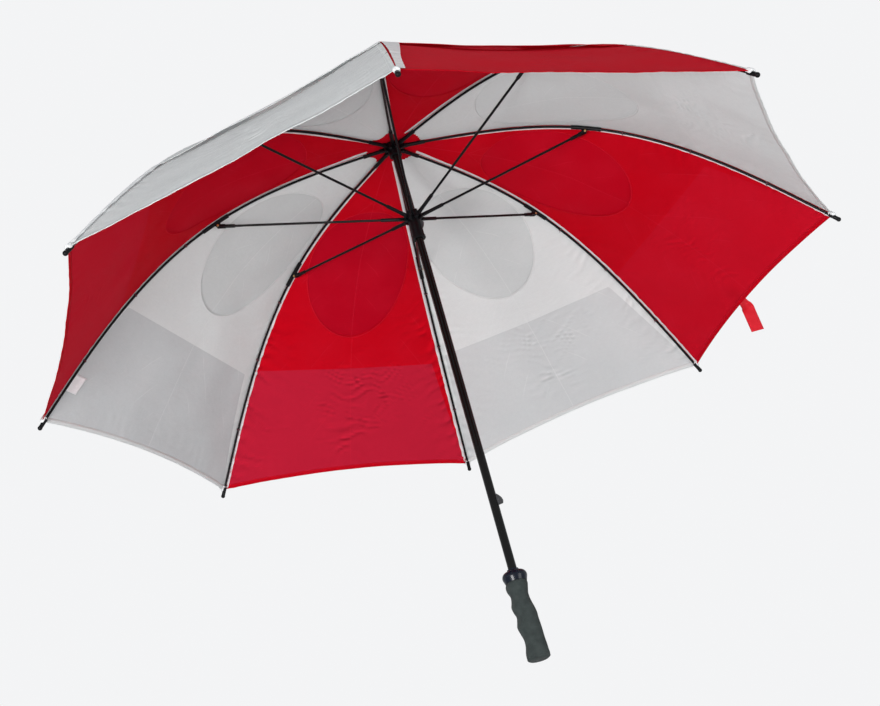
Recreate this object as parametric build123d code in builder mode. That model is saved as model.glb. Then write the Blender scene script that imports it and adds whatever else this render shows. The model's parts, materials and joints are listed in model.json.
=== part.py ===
from build123d import *
import os
from math import atan2, cos, hypot, radians, sin, tan

os.makedirs("parts", exist_ok=True)

# A golf umbrella, open. Millimetres and degrees. The origin is the bottom centre of the
# grip, +Z runs up the shaft to the ferrule, and rib 1 points along +X. The ribs are
# spread evenly, and gore k is the cloth between rib k and rib k + 1.

# ---------------------------------------------------------------- driving dimensions
SECTORS = 8
SECTOR_ANGLE = 360 / SECTORS
HALF_SECTOR = SECTOR_ANGLE / 2

CROWN_Z = 892.0  # height of the rib pivots above the grip's end
HUB_R = 13.0  # rib pivots to the shaft's axis
RIB_LENGTH = 751.7  # pivot to tip along the bent rib
JOINT_S = 0.4127  # share of the rib's length where the stretcher joins it
ROOT_SLOPE = 4.4  # rib's slope below the horizontal at the crown
RIB_BEND = 44.9  # turn of the bent rib from crown to tip
ROD_R = 2.0

SHAFT_R = 6.5
SHAFT_WALL = 1.3
GRIP_TOP = 116.0
COLLAR_TOP = 133.0
RUNNER_DROP = 140.7  # stretcher pivots on the runner, below the rib pivots
RUNNER_R = 13.5  # stretcher pivots to the shaft's axis
CATCH_ANGLE = -HALF_SECTOR  # the catches stand between two ribs
CLOTH = 0.8  # thickness of a cloth layer's solid
CLOTH_LIFT = 4.0  # underside of the canopy above the rib's centre line
VENT_S = 0.69  # share of the rib's length that the vent flap covers
HEM_S = 0.975  # share of the rib's length that the canopy covers
FIT = 0.03  # radial room of a rod in its sleeve

RUNNER_Z = CROWN_Z - RUNNER_DROP
STEPS = 400


def export(shape, name):
    """Label a finished piece and write its STEP file."""
    shape.label = name
    export_step(shape, f"parts/{name}.step")


def around(pieces, name, first_angle=0.0):
    """Write one copy of a sector's pieces for every sector, turned about the shaft."""
    for k in range(SECTORS):
        angle = first_angle + k * SECTOR_ANGLE
        turned = [piece.rotate(Axis.Z, angle) for piece in pieces]
        node = turned[0] if len(turned) == 1 else Compound(children=turned)
        export(node, f"{name}_{k + 1}")


# ---------------------------------------------------------------- the bent rib's line
def slope(s):
    """Slope below the horizontal at the share s of the rib. A sprung rod that is pulled
    down at its tip and propped at the stretcher bends most at the prop."""
    if s < JOINT_S:
        return radians(ROOT_SLOPE + RIB_BEND * s * s / JOINT_S)
    return radians(ROOT_SLOPE + RIB_BEND * (1 - (1 - s) ** 2 / (1 - JOINT_S)))


def bent_line():
    """(radius, height) along the rib's centre line, from the pivot to the tip."""
    points = [(HUB_R, CROWN_Z)]
    step = RIB_LENGTH / STEPS
    for k in range(STEPS):
        angle = slope((k + 0.5) / STEPS)
        radius, height = points[-1]
        points.append((radius + step * cos(angle), height - step * sin(angle)))
    return points


LINE = bent_line()


def along(s, lift=0.0):
    """(radius, height) at the share s of the rib, lifted square to the rib."""
    k = min(int(s * STEPS), STEPS - 1)
    part = s * STEPS - k
    radius = LINE[k][0] + part * (LINE[k + 1][0] - LINE[k][0])
    height = LINE[k][1] + part * (LINE[k + 1][1] - LINE[k][1])
    return (radius + lift * sin(slope(s)), height + lift * cos(slope(s)))


def stations(first, last, count):
    return [first + (last - first) * k / (count - 1) for k in range(count)]


def square_to_rib(s):
    """The plane across the rib at the share s of its length."""
    radius, height = along(s)
    return Plane(
        origin=(radius, 0, height),
        x_dir=(0, 1, 0),
        z_dir=(cos(slope(s)), 0, -sin(slope(s))),
    )


def rib_curve(first, last, count=9):
    return Spline(*[along(s) for s in stations(first, last, count)])


# ---------------------------------------------------------------- crown end of a rib
SLOT_W = 6.0  # slots of the crown
EYE_W = 5.5  # eye of a rib's socket
EYE_R = 3.1
EYE_NECK = 2.8  # half height of the bar that joins the eye to the socket
SOCKET_R = 3.2
SOCKET_START = 9.0
SOCKET_END = 40.0
ROD_START = 11.0
ROD_FOOT_S = (ROD_START + 0.5) / RIB_LENGTH
SOCKET_FIT = 0.09  # radial room, as the rod is already a little bent in the straight socket
WIRE_R = 0.7  # ring of wire that strings the eyes on the crown
WIRE_HOLE_R = 1.25
RUNNER_WIRE_HOLE_R = 1.1
ROOT = radians(ROOT_SLOPE)


def root_point(distance, lift=0.0):
    """(radius, height) of a point on the socket, which is straight."""
    return (
        HUB_R + distance * cos(ROOT) + lift * sin(ROOT),
        CROWN_Z - distance * sin(ROOT) + lift * cos(ROOT),
    )


def root_plane(distance):
    radius, height = root_point(distance)
    return Plane(origin=(radius, 0, height), x_dir=(0, 1, 0), z_dir=(cos(ROOT), 0, -sin(ROOT)))


with BuildPart() as hub_socket:
    with BuildSketch(Plane.XZ):
        with Locations((HUB_R, CROWN_Z)):
            Circle(EYE_R)
        with BuildLine():
            Polyline(
                root_point(0, EYE_NECK),
                root_point(ROD_START, EYE_NECK),
                root_point(ROD_START, -EYE_NECK),
                root_point(0, -EYE_NECK),
                close=True,
            )
        make_face()
    extrude(amount=EYE_W / 2, both=True)
    with BuildSketch(root_plane(SOCKET_START)):
        Circle(SOCKET_R)
    extrude(amount=SOCKET_END - SOCKET_START)
    with BuildSketch(root_plane(ROD_START)):
        Circle(ROD_R + SOCKET_FIT)
    extrude(amount=SOCKET_END, mode=Mode.SUBTRACT)
    with BuildSketch(Plane.XZ):
        with Locations((HUB_R, CROWN_Z)):
            Circle(WIRE_HOLE_R)
    extrude(amount=EYE_W, both=True, mode=Mode.SUBTRACT)

# ---------------------------------------------------------------- mid joint of a rib
SLEEVE_R = 3.5
SLEEVE_BACK = 24.0  # sleeve's length towards the crown from the stretcher's pin
SLEEVE_LIP = 6.0  # and towards the tip, up to the flex line
OUTER_SLEEVE = 20.0  # length of the second sleeve, past the flex line
FLEX_GAP = 0.1
LUG_W = 3.0
PIN_DROP = 7.5  # stretcher's pin below the rib's centre line
PIN_R = 1.0
PIN_FIT = 0.06
LUG_R = 2.7
LUG_WAIST = 2.4  # half width of the lug at the pin
LUG_BACK = 9.0  # length of the lug's root towards the crown
LUG_FRONT = 4.0  # and towards the tip

BACK_S = JOINT_S - SLEEVE_BACK / RIB_LENGTH
FLEX_S = JOINT_S + SLEEVE_LIP / RIB_LENGTH
OUT_START_S = FLEX_S + FLEX_GAP / RIB_LENGTH
OUT_END_S = FLEX_S + OUTER_SLEEVE / RIB_LENGTH
PIN_X, PIN_Z = along(JOINT_S, -PIN_DROP)

with BuildPart() as inner_rod:
    with BuildLine(Plane.XZ):
        rib_curve(ROD_FOOT_S, FLEX_S)
    with BuildSketch(square_to_rib(ROD_FOOT_S)):
        Circle(ROD_R)
    sweep()

with BuildPart() as mid_sleeve:
    with BuildLine(Plane.XZ) as mid_path:
        rib_curve(BACK_S, FLEX_S, 5)
    with BuildSketch(square_to_rib(BACK_S)):
        Circle(SLEEVE_R)
    sweep()
    with BuildSketch(Plane.XZ):
        with BuildLine():
            Polyline(
                along(JOINT_S - LUG_BACK / RIB_LENGTH, -ROD_R),
                along(JOINT_S + LUG_FRONT / RIB_LENGTH, -ROD_R),
                along(JOINT_S + LUG_WAIST / RIB_LENGTH, -PIN_DROP),
                along(JOINT_S - LUG_WAIST / RIB_LENGTH, -PIN_DROP),
                close=True,
            )
        make_face()
        with Locations((PIN_X, PIN_Z)):
            Circle(LUG_R)
    extrude(amount=LUG_W / 2, both=True)
    with BuildSketch(square_to_rib(BACK_S)):
        Circle(ROD_R + FIT)
    sweep(path=mid_path.wires()[0], mode=Mode.SUBTRACT)
    with BuildSketch(Plane.XZ):
        with Locations((PIN_X, PIN_Z)):
            Circle(PIN_R + PIN_FIT)
    extrude(amount=LUG_W, both=True, mode=Mode.SUBTRACT)

around([inner_rod.part, hub_socket.part, mid_sleeve.part], "rib_inner")

# ---------------------------------------------------------------- outer length of a rib
TIP_LENGTH = 17.0
TIP_R = 3.3
TIP_BALL_R = 3.7
TIP_S = 1 - TIP_LENGTH / RIB_LENGTH

with BuildPart() as outer_rod:
    with BuildLine(Plane.XZ):
        rib_curve(OUT_START_S, 1.0, 13)
    with BuildSketch(square_to_rib(OUT_START_S)):
        Circle(ROD_R)
    sweep()

with BuildPart() as flex_sleeve:
    with BuildLine(Plane.XZ):
        rib_curve(OUT_START_S, OUT_END_S, 5)
    with BuildSketch(square_to_rib(OUT_START_S)):
        Circle(SLEEVE_R)
        Circle(ROD_R + FIT, mode=Mode.SUBTRACT)
    sweep()

with BuildPart() as rib_tip:
    with BuildLine(Plane.XZ) as tip_path:
        rib_curve(TIP_S, 1.0, 5)
    with BuildSketch(square_to_rib(TIP_S)):
        Circle(TIP_R)
    sweep()
    with Locations(Plane(origin=(along(1.0)[0], 0, along(1.0)[1]))):
        Sphere(TIP_BALL_R)
    with BuildSketch(square_to_rib(TIP_S)):
        Circle(ROD_R + FIT)
    sweep(path=tip_path.wires()[0], mode=Mode.SUBTRACT)

around([outer_rod.part, flex_sleeve.part, rib_tip.part], "rib_outer")

# ---------------------------------------------------------------- stretchers
STRETCHER_EYE_W = 4.6
STRETCHER_EYE_R = 2.6
STRETCHER_SLEEVE_R = 3.0
FORK_GAP = 3.4
FORK_W = 6.8
FORK_R = 2.6
FORK_BASE = 8.0  # from the pin to the bottom of the fork's gap
FORK_ROOT = 4.0  # length of the fork's bar inside its sleeve
FORK_SLEEVE = 28.0  # end of the outer sleeve, from the pin
INNER_SLEEVE = 40.0  # end of the inner sleeve, from the runner's wire
INNER_SLEEVE_START = 10.5
BAR_SIDE = 0.2  # how much lower than its round end a flat bar is
END_ROOM = 0.05  # between a rod's end and the bottom of its hole

STRETCHER_LENGTH = hypot(PIN_X - RUNNER_R, PIN_Z - RUNNER_Z)
RISE = atan2(PIN_Z - RUNNER_Z, PIN_X - RUNNER_R)


def on_stretcher(distance, side=0.0):
    """(radius, height) at a distance from the runner's wire, moved square to the rod."""
    return (
        RUNNER_R + distance * cos(RISE) - side * sin(RISE),
        RUNNER_Z + distance * sin(RISE) + side * cos(RISE),
    )


def across_stretcher(distance):
    radius, height = on_stretcher(distance)
    return Plane(origin=(radius, 0, height), x_dir=(0, 1, 0), z_dir=(cos(RISE), 0, sin(RISE)))


def bar_outline(start, end, half):
    """A straight bar's outline along the stretcher, in the rib's plane."""
    return Polyline(
        on_stretcher(start, half),
        on_stretcher(end, half),
        on_stretcher(end, -half),
        on_stretcher(start, -half),
        close=True,
    )


FORK_END = STRETCHER_LENGTH - FORK_BASE
ROD_FIRST = INNER_SLEEVE_START + 3.0
ROD_LAST = FORK_END - 7.0
FORK_SLEEVE_FOOT = STRETCHER_LENGTH - FORK_SLEEVE

with BuildPart() as stretcher_rod:
    with BuildSketch(across_stretcher(ROD_FIRST)):
        Circle(ROD_R)
    extrude(amount=ROD_LAST - ROD_FIRST)

with BuildPart() as stretcher_eye:
    with BuildSketch(Plane.XZ):
        with Locations((RUNNER_R, RUNNER_Z)):
            Circle(STRETCHER_EYE_R)
        with BuildLine():
            bar_outline(0, ROD_FIRST, STRETCHER_EYE_R - BAR_SIDE)
        make_face()
    extrude(amount=STRETCHER_EYE_W / 2, both=True)
    with BuildSketch(across_stretcher(INNER_SLEEVE_START)):
        Circle(STRETCHER_SLEEVE_R)
    extrude(amount=INNER_SLEEVE - INNER_SLEEVE_START)
    with BuildSketch(across_stretcher(ROD_FIRST - END_ROOM)):
        Circle(ROD_R + FIT)
    extrude(amount=INNER_SLEEVE, mode=Mode.SUBTRACT)
    with BuildSketch(Plane.XZ):
        with Locations((RUNNER_R, RUNNER_Z)):
            Circle(RUNNER_WIRE_HOLE_R)
    extrude(amount=EYE_W, both=True, mode=Mode.SUBTRACT)

with BuildPart() as stretcher_fork:
    with BuildSketch(Plane.XZ):
        with Locations((PIN_X, PIN_Z)):
            Circle(FORK_R)
        with BuildLine():
            bar_outline(FORK_END - FORK_ROOT, STRETCHER_LENGTH, FORK_R - BAR_SIDE)
        make_face()
    extrude(amount=FORK_W / 2, both=True)
    with BuildSketch(Plane.XZ):
        with BuildLine():
            bar_outline(FORK_END, STRETCHER_LENGTH + 2 * FORK_R, 2 * FORK_R)
        make_face()
    extrude(amount=FORK_GAP / 2, both=True, mode=Mode.SUBTRACT)
    with BuildSketch(across_stretcher(FORK_SLEEVE_FOOT)):
        Circle(STRETCHER_SLEEVE_R)
    extrude(amount=FORK_END - FORK_ROOT / 2 - FORK_SLEEVE_FOOT)
    with BuildSketch(across_stretcher(FORK_SLEEVE_FOOT)):
        Circle(ROD_R + FIT)
    extrude(amount=ROD_LAST + END_ROOM - FORK_SLEEVE_FOOT, mode=Mode.SUBTRACT)
    with BuildSketch(Plane.XZ):
        with Locations((PIN_X, PIN_Z)):
            Circle(PIN_R + FIT)
    extrude(amount=FORK_W, both=True, mode=Mode.SUBTRACT)

RIVET_HEAD_R = 1.7
RIVET_HEAD = 0.6

with BuildPart() as stretcher_rivet:
    with BuildSketch(Plane.XZ):
        with Locations((PIN_X, PIN_Z)):
            Circle(PIN_R)
    extrude(amount=FORK_W / 2 + RIVET_HEAD, both=True)
    for side in (1, -1):
        with BuildSketch(Plane.XZ.offset(side * (FORK_W / 2 + FIT))):
            with Locations((PIN_X, PIN_Z)):
                Circle(RIVET_HEAD_R)
        extrude(amount=side * (RIVET_HEAD - FIT))

around(
    [stretcher_rod.part, stretcher_eye.part, stretcher_fork.part, stretcher_rivet.part],
    "stretcher",
)

# ---------------------------------------------------------------- canopy cloth
BISECT = cos(radians(HALF_SECTOR))
SEAM_ROOM = 0.5  # half of the room between two gores at a rib
CLOTH_FIRST_S = 0.056
FOLD_S = JOINT_S  # the gore folds here, beside the stretchers' pins
FOLD_ROOM = 0.15 / RIB_LENGTH
FLAP_GAP = 0.8
VENT_R = (137.0, 95.0)  # half length and half width of the vent opening, seen from above
VENT_X = 280.0  # the vent opening's centre to the shaft's axis


def gore_point(s, lift):
    """(radius, height) on the gore's middle line, which lies nearer the shaft than the
    ribs because the cloth runs straight from rib to rib."""
    radius, height = along(s, lift)
    return (radius * BISECT, height)


def cloth_layer(first, last, lift, vented):
    """A gore's cloth between two shares of the rib's length, in the +X half plane."""
    with BuildPart() as layer:
        with BuildSketch(Plane.XZ):
            with BuildLine():
                low = Spline(*[gore_point(s, lift) for s in stations(first, last, 7)])
                high = Spline(*[gore_point(s, lift + CLOTH) for s in stations(first, last, 7)])
                Line(low @ 0, high @ 0)
                Line(low @ 1, high @ 1)
            make_face()
        extrude(amount=RIB_LENGTH / 2, both=True)
        reach = 1.1 * RIB_LENGTH
        half = tan(radians(HALF_SECTOR))
        apex = SEAM_ROOM / sin(radians(HALF_SECTOR))
        with BuildSketch(Plane.XY):
            with BuildLine():
                Polyline(
                    (apex, 0),
                    (reach, (reach - apex) * half),
                    (reach, (apex - reach) * half),
                    close=True,
                )
            make_face()
        extrude(amount=CROWN_Z + RIB_LENGTH, mode=Mode.INTERSECT)
        if vented:
            with BuildSketch(Plane.XY):
                with Locations((VENT_X, 0)):
                    Ellipse(*VENT_R)
            extrude(amount=CROWN_Z + RIB_LENGTH, mode=Mode.SUBTRACT)
    return layer.part


FLAP_LIFT = CLOTH_LIFT + CLOTH + FLAP_GAP
around(
    [
        cloth_layer(CLOTH_FIRST_S, FOLD_S - FOLD_ROOM, CLOTH_LIFT, True),
        cloth_layer(CLOTH_FIRST_S, FOLD_S - FOLD_ROOM, FLAP_LIFT, False),
    ],
    "canopy_inner",
    HALF_SECTOR,
)
around(
    [
        cloth_layer(FOLD_S + FOLD_ROOM, HEM_S, CLOTH_LIFT, True),
        cloth_layer(FOLD_S + FOLD_ROOM, VENT_S, FLAP_LIFT, False),
    ],
    "canopy_outer",
    HALF_SECTOR,
)

# ---------------------------------------------------------------- shaft and its catches
SHAFT_FOOT = 14.0
SHAFT_TOP = CROWN_Z + 34.0
CATCH_W = 3.0
CATCH_H = 19.0
CATCH_REACH = 8.0  # how far a catch stands out of the shaft
CATCH_ROOT = 3.2  # inner face of a catch to the shaft's axis
CATCH_SLOT_W = 3.4
CATCH_NOSE = 1.5  # flat length of the shoulder, back from the tip
CATCH_TIP = 2.5  # from the shoulder to the catch's widest point
CATCH_WAIST = 0.52  # share of the height where the slope has fallen back
CATCH_WAIST_IN = 1.2
CATCH_SUNK = 0.4  # the slope ends this far inside the shaft's outside
LEAF = 0.4  # thickness of the springs
LEAF_BACK = SHAFT_R - SHAFT_WALL - 0.65
LEAF_TAIL = 14.0
LEAF_BEND = 4.0
LEAF_TOP = 3.0
TOP_CATCH_Z = CROWN_Z - 152.5  # shoulder of the catch that holds the umbrella open
BOTTOM_CATCH_Z = CROWN_Z - 656.0  # shoulder of the catch that holds it closed
STOP_Z = CROWN_Z - 128.6
STOP_R = 1.2
STOP_REACH = 9.0
CROWN_PIN_Z = CROWN_Z - 12.0
CROWN_PIN_R = 1.0

catch_plane = Plane.XZ.rotated((0, 0, CATCH_ANGLE))


def catch_outline(shoulder_z, way):
    """A catch seen from the side: a flat shoulder and a long rounded slope. way is 1 if
    the slope is above the shoulder, and -1 if it is below."""
    tip = SHAFT_R + CATCH_REACH
    end_z = shoulder_z + way * CATCH_H
    Polyline(
        (CATCH_ROOT, end_z),
        (CATCH_ROOT, shoulder_z),
        (tip - CATCH_NOSE, shoulder_z),
    )
    Spline(
        (tip - CATCH_NOSE, shoulder_z),
        (tip, shoulder_z + way * CATCH_TIP),
        (tip - CATCH_WAIST_IN, shoulder_z + way * CATCH_WAIST * CATCH_H),
        (SHAFT_R - CATCH_SUNK, end_z),
    )
    Line((SHAFT_R - CATCH_SUNK, end_z), (CATCH_ROOT, end_z))


def catch(shoulder_z, way):
    with BuildPart() as hook:
        with BuildSketch(catch_plane):
            with BuildLine():
                catch_outline(shoulder_z, way)
            make_face()
        extrude(amount=CATCH_W / 2, both=True)
    return hook.part


def catch_spring(shoulder_z, way):
    """A bent steel leaf in the shaft behind a catch."""
    back = -LEAF_BACK
    front = CATCH_ROOT - FIT
    foot = shoulder_z + way * (CATCH_H + LEAF_TAIL)
    bend = shoulder_z + way * (CATCH_H + LEAF_BEND)
    knee = shoulder_z + way * (CATCH_H - LEAF_BEND)
    top = shoulder_z + way * LEAF_TOP
    with BuildPart() as leaf:
        with BuildSketch(catch_plane):
            with BuildLine():
                Polyline(
                    (back, foot),
                    (back, bend),
                    (front - LEAF, knee),
                    (front - LEAF, top),
                    (front, top),
                    (front, knee),
                    (back + LEAF, bend),
                    (back + LEAF, foot),
                    close=True,
                )
            make_face()
        extrude(amount=CATCH_W / 2, both=True)
    return leaf.part


with BuildPart() as shaft:
    with BuildSketch(Plane.XY.offset(SHAFT_FOOT)):
        Circle(SHAFT_R)
        Circle(SHAFT_R - SHAFT_WALL, mode=Mode.SUBTRACT)
    extrude(amount=SHAFT_TOP - SHAFT_FOOT)
    for slot_z, way in ((TOP_CATCH_Z, -1), (BOTTOM_CATCH_Z, 1)):
        with BuildSketch(catch_plane):
            with Locations((SHAFT_R, slot_z + way * CATCH_H / 2)):
                Rectangle(SHAFT_R, CATCH_H + 1)
        extrude(amount=CATCH_SLOT_W / 2, both=True, mode=Mode.SUBTRACT)
    for hole_z, hole_r in ((STOP_Z, STOP_R), (CROWN_PIN_Z, CROWN_PIN_R)):
        with BuildSketch(Plane.YZ.rotated((0, 0, CATCH_ANGLE))):
            with Locations((0, hole_z)):
                Circle(hole_r + FIT)
        extrude(amount=2 * SHAFT_R, both=True, mode=Mode.SUBTRACT)
export(shaft.part, "shaft")

export(catch(TOP_CATCH_Z, -1), "top_catch")
export(catch(BOTTOM_CATCH_Z, 1), "bottom_catch")
export(catch_spring(TOP_CATCH_Z, -1), "top_catch_spring")
export(catch_spring(BOTTOM_CATCH_Z, 1), "bottom_catch_spring")


def cross_pin(height, radius, reach):
    """A pin across the shaft, square to the catches."""
    with BuildPart() as pin:
        with BuildSketch(Plane.YZ.rotated((0, 0, CATCH_ANGLE))):
            with Locations((0, height)):
                Circle(radius)
        extrude(amount=reach, both=True)
        chamfer(pin.edges().filter_by(GeomType.CIRCLE), PIN_EDGE)
    return pin.part


CROWN_NECK_R = 10.5
PIN_EDGE = 0.25
PLUG_LENGTH = 24.0
EDGE = 0.5  # chamfer of the moulded edges
export(cross_pin(STOP_Z, STOP_R, STOP_REACH), "stop_pin")
export(cross_pin(CROWN_PIN_Z, CROWN_PIN_R, CROWN_NECK_R - 0.2), "crown_pin")

with BuildPart() as shaft_plug:
    with BuildSketch(Plane.XY.offset(SHAFT_FOOT + EDGE)):
        Circle(SHAFT_R - SHAFT_WALL - FIT)
    extrude(amount=PLUG_LENGTH)
    chamfer(shaft_plug.edges().filter_by(GeomType.CIRCLE), EDGE)
export(shaft_plug.part, "shaft_plug")

# ---------------------------------------------------------------- crown
CROWN_R = 15.8
CROWN_TOP = CROWN_Z + 4.6
CROWN_DISC_FOOT = CROWN_Z - 8.0
CROWN_FOOT = CROWN_Z - 17.0
EYE_ROOM = 0.4  # round the rib eyes in the crown's slots
CROWN_SLOT_R = HUB_R - EYE_R - EYE_ROOM
BORE_ROOM = 0.05

with BuildPart() as crown:
    with BuildSketch(Plane.XY.offset(CROWN_DISC_FOOT)):
        Circle(CROWN_R)
    extrude(amount=CROWN_TOP - CROWN_DISC_FOOT)
    chamfer(crown.edges().filter_by(GeomType.CIRCLE), EDGE)
    with BuildSketch(Plane.XY.offset(CROWN_FOOT)):
        Circle(CROWN_NECK_R)
    extrude(amount=CROWN_DISC_FOOT - CROWN_FOOT)
    for k in range(SECTORS):
        with BuildSketch(Plane.XY.offset(CROWN_DISC_FOOT)):
            with Locations(Location((0, 0, 0), (0, 0, k * SECTOR_ANGLE))):
                with Locations((CROWN_SLOT_R + CROWN_R / 2, 0)):
                    Rectangle(CROWN_R, SLOT_W)
        extrude(amount=CROWN_Z + EYE_R + EYE_ROOM - CROWN_DISC_FOOT, mode=Mode.SUBTRACT)
    with BuildSketch(Plane.XY.offset(CROWN_FOOT)):
        Circle(SHAFT_R + BORE_ROOM)
    extrude(amount=2 * CROWN_R, mode=Mode.SUBTRACT)
    with BuildSketch(Plane.XZ):
        with Locations((HUB_R, CROWN_Z)):
            Circle(WIRE_R + FIT)
    revolve(axis=Axis.Z, mode=Mode.SUBTRACT)
    with BuildSketch(Plane.YZ.rotated((0, 0, CATCH_ANGLE))):
        with Locations((0, CROWN_PIN_Z)):
            Circle(CROWN_PIN_R + FIT)
    extrude(amount=CROWN_R, both=True, mode=Mode.SUBTRACT)
export(crown.part, "crown")


def wire_ring(ring_r, height):
    """The ring of wire that a row of eyes turns on."""
    with BuildPart() as ring:
        with BuildSketch(Plane.XZ):
            with Locations((ring_r, height)):
                Circle(WIRE_R)
        revolve(axis=Axis.Z)
    return ring.part


export(wire_ring(HUB_R, CROWN_Z), "crown_wire")
export(wire_ring(RUNNER_R, RUNNER_Z), "runner_wire")

# ---------------------------------------------------------------- runner
RUNNER_HEAD_R = 15.2
RUNNER_CORE_R = 10.2
RUNNER_TOP = RUNNER_Z + 9.7
RUNNER_HEAD_FOOT = RUNNER_Z - 7.0
RUNNER_FOOT = CROWN_Z - 182.5
RUNNER_RIM_R = 11.2
RUNNER_RIM_H = 5.0
RUNNER_BORE_R = SHAFT_R + 0.2
RUNNER_SLOT_W = 5.3
RUNNER_STEP = 2.0  # height of the steps under and over the head
WINDOW_TOP = CROWN_Z - 151.5
WINDOW_FOOT = CROWN_Z - 180.5
WINDOW_W = 4.6

with BuildPart() as runner:
    with BuildSketch(Plane.XZ):
        with BuildLine():
            Polyline(
                (RUNNER_BORE_R, RUNNER_FOOT),
                (RUNNER_RIM_R - EDGE, RUNNER_FOOT),
                (RUNNER_RIM_R, RUNNER_FOOT + EDGE),
                (RUNNER_RIM_R, RUNNER_FOOT + RUNNER_RIM_H - EDGE),
                (RUNNER_CORE_R, RUNNER_FOOT + RUNNER_RIM_H),
                (RUNNER_CORE_R, RUNNER_HEAD_FOOT - RUNNER_STEP),
                (RUNNER_HEAD_R - EDGE, RUNNER_HEAD_FOOT),
                (RUNNER_HEAD_R, RUNNER_HEAD_FOOT + EDGE),
                (RUNNER_HEAD_R, RUNNER_TOP - RUNNER_STEP - EDGE),
                (RUNNER_HEAD_R - EDGE, RUNNER_TOP - RUNNER_STEP),
                (RUNNER_CORE_R, RUNNER_TOP - RUNNER_STEP),
                (RUNNER_CORE_R, RUNNER_TOP - EDGE),
                (RUNNER_CORE_R - EDGE, RUNNER_TOP),
                (RUNNER_BORE_R, RUNNER_TOP),
                close=True,
            )
        make_face()
    revolve(axis=Axis.Z)
    for k in range(SECTORS):
        with BuildSketch(Plane.XY.offset(RUNNER_HEAD_FOOT - 2 * RUNNER_STEP)):
            with Locations(Location((0, 0, 0), (0, 0, k * SECTOR_ANGLE))):
                with Locations((RUNNER_CORE_R + RUNNER_HEAD_R / 2, 0)):
                    Rectangle(RUNNER_HEAD_R, RUNNER_SLOT_W)
        extrude(amount=RUNNER_TOP - RUNNER_HEAD_FOOT + 3 * RUNNER_STEP, mode=Mode.SUBTRACT)
    with BuildSketch(Plane.XZ):
        with Locations((RUNNER_R, RUNNER_Z)):
            Circle(WIRE_R + FIT)
    revolve(axis=Axis.Z, mode=Mode.SUBTRACT)
    with BuildSketch(catch_plane):
        with Locations((RUNNER_CORE_R, (WINDOW_TOP + WINDOW_FOOT) / 2)):
            Rectangle(RUNNER_CORE_R, WINDOW_TOP - WINDOW_FOOT)
    extrude(amount=WINDOW_W / 2, both=True, mode=Mode.SUBTRACT)
export(runner.part, "runner")

# ---------------------------------------------------------------- top of the umbrella
STACK_ROOM = 0.05  # between the pieces stacked on the shaft
ROSETTE_R = 46.0
ROSETTE_HOLE_R = SHAFT_R + 0.5
ROSETTE_FLAT_R = CROWN_R + 3.0
ROSETTE_THICK = 0.5
ROSETTE_Z = CROWN_TOP + 2 * STACK_ROOM
ROSETTE_DROP = 3.1  # how far the rosette's edge hangs below its middle

with BuildPart() as rosette:
    with BuildSketch(Plane.XZ):
        with BuildLine():
            Polyline(
                (ROSETTE_HOLE_R, ROSETTE_Z),
                (ROSETTE_FLAT_R, ROSETTE_Z),
                (ROSETTE_R, ROSETTE_Z - ROSETTE_DROP),
                (ROSETTE_R, ROSETTE_Z - ROSETTE_DROP + ROSETTE_THICK),
                (ROSETTE_FLAT_R, ROSETTE_Z + ROSETTE_THICK),
                (ROSETTE_HOLE_R, ROSETTE_Z + ROSETTE_THICK),
                close=True,
            )
        make_face()
    revolve(axis=Axis.Z)
export(rosette.part, "rosette")

WASHER_R = 21.0
WASHER_Z = ROSETTE_Z + ROSETTE_THICK + STACK_ROOM
WASHER_H = 1.6
WASHER_EDGE = 0.9
FERRULE_Z = WASHER_Z + WASHER_H + STACK_ROOM
FERRULE_BASE_R = 11.5
FERRULE_BASE_H = 3.0
FERRULE_WAIST_R = 8.6
FERRULE_WAIST_Z = FERRULE_Z + 9.0
FERRULE_NECK_R = 8.0
FERRULE_NECK_Z = CROWN_Z + 32.0
SPIKE_R = 5.0
SPIKE_FOOT = CROWN_Z + 40.0
FERRULE_TOP = CROWN_Z + 66.0

with BuildPart() as ferrule_washer:
    with BuildSketch(Plane.XY.offset(WASHER_Z)):
        Circle(WASHER_R)
        Circle(SHAFT_R + BORE_ROOM, mode=Mode.SUBTRACT)
    extrude(amount=WASHER_H)
    fillet(ferrule_washer.edges().group_by(Axis.Z)[-1].sort_by(SortBy.RADIUS)[-1], WASHER_EDGE)
export(ferrule_washer.part, "ferrule_washer")

with BuildPart() as ferrule:
    with BuildSketch(Plane.XZ):
        with BuildLine():
            Polyline(
                (0, FERRULE_Z),
                (FERRULE_BASE_R, FERRULE_Z),
                (FERRULE_BASE_R, FERRULE_Z + FERRULE_BASE_H),
                (FERRULE_WAIST_R, FERRULE_WAIST_Z),
                (FERRULE_NECK_R, FERRULE_NECK_Z),
                (SPIKE_R, SPIKE_FOOT),
                (SPIKE_R, FERRULE_TOP - SPIKE_R),
            )
            RadiusArc((SPIKE_R, FERRULE_TOP - SPIKE_R), (0, FERRULE_TOP), -SPIKE_R)
            Line((0, FERRULE_TOP), (0, FERRULE_Z))
        make_face()
    revolve(axis=Axis.Z)
    with BuildSketch(Plane.XY.offset(FERRULE_Z)):
        Circle(SHAFT_R + BORE_ROOM)
    extrude(amount=SHAFT_TOP + 1 - FERRULE_Z, mode=Mode.SUBTRACT)
export(ferrule.part, "ferrule")

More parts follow.
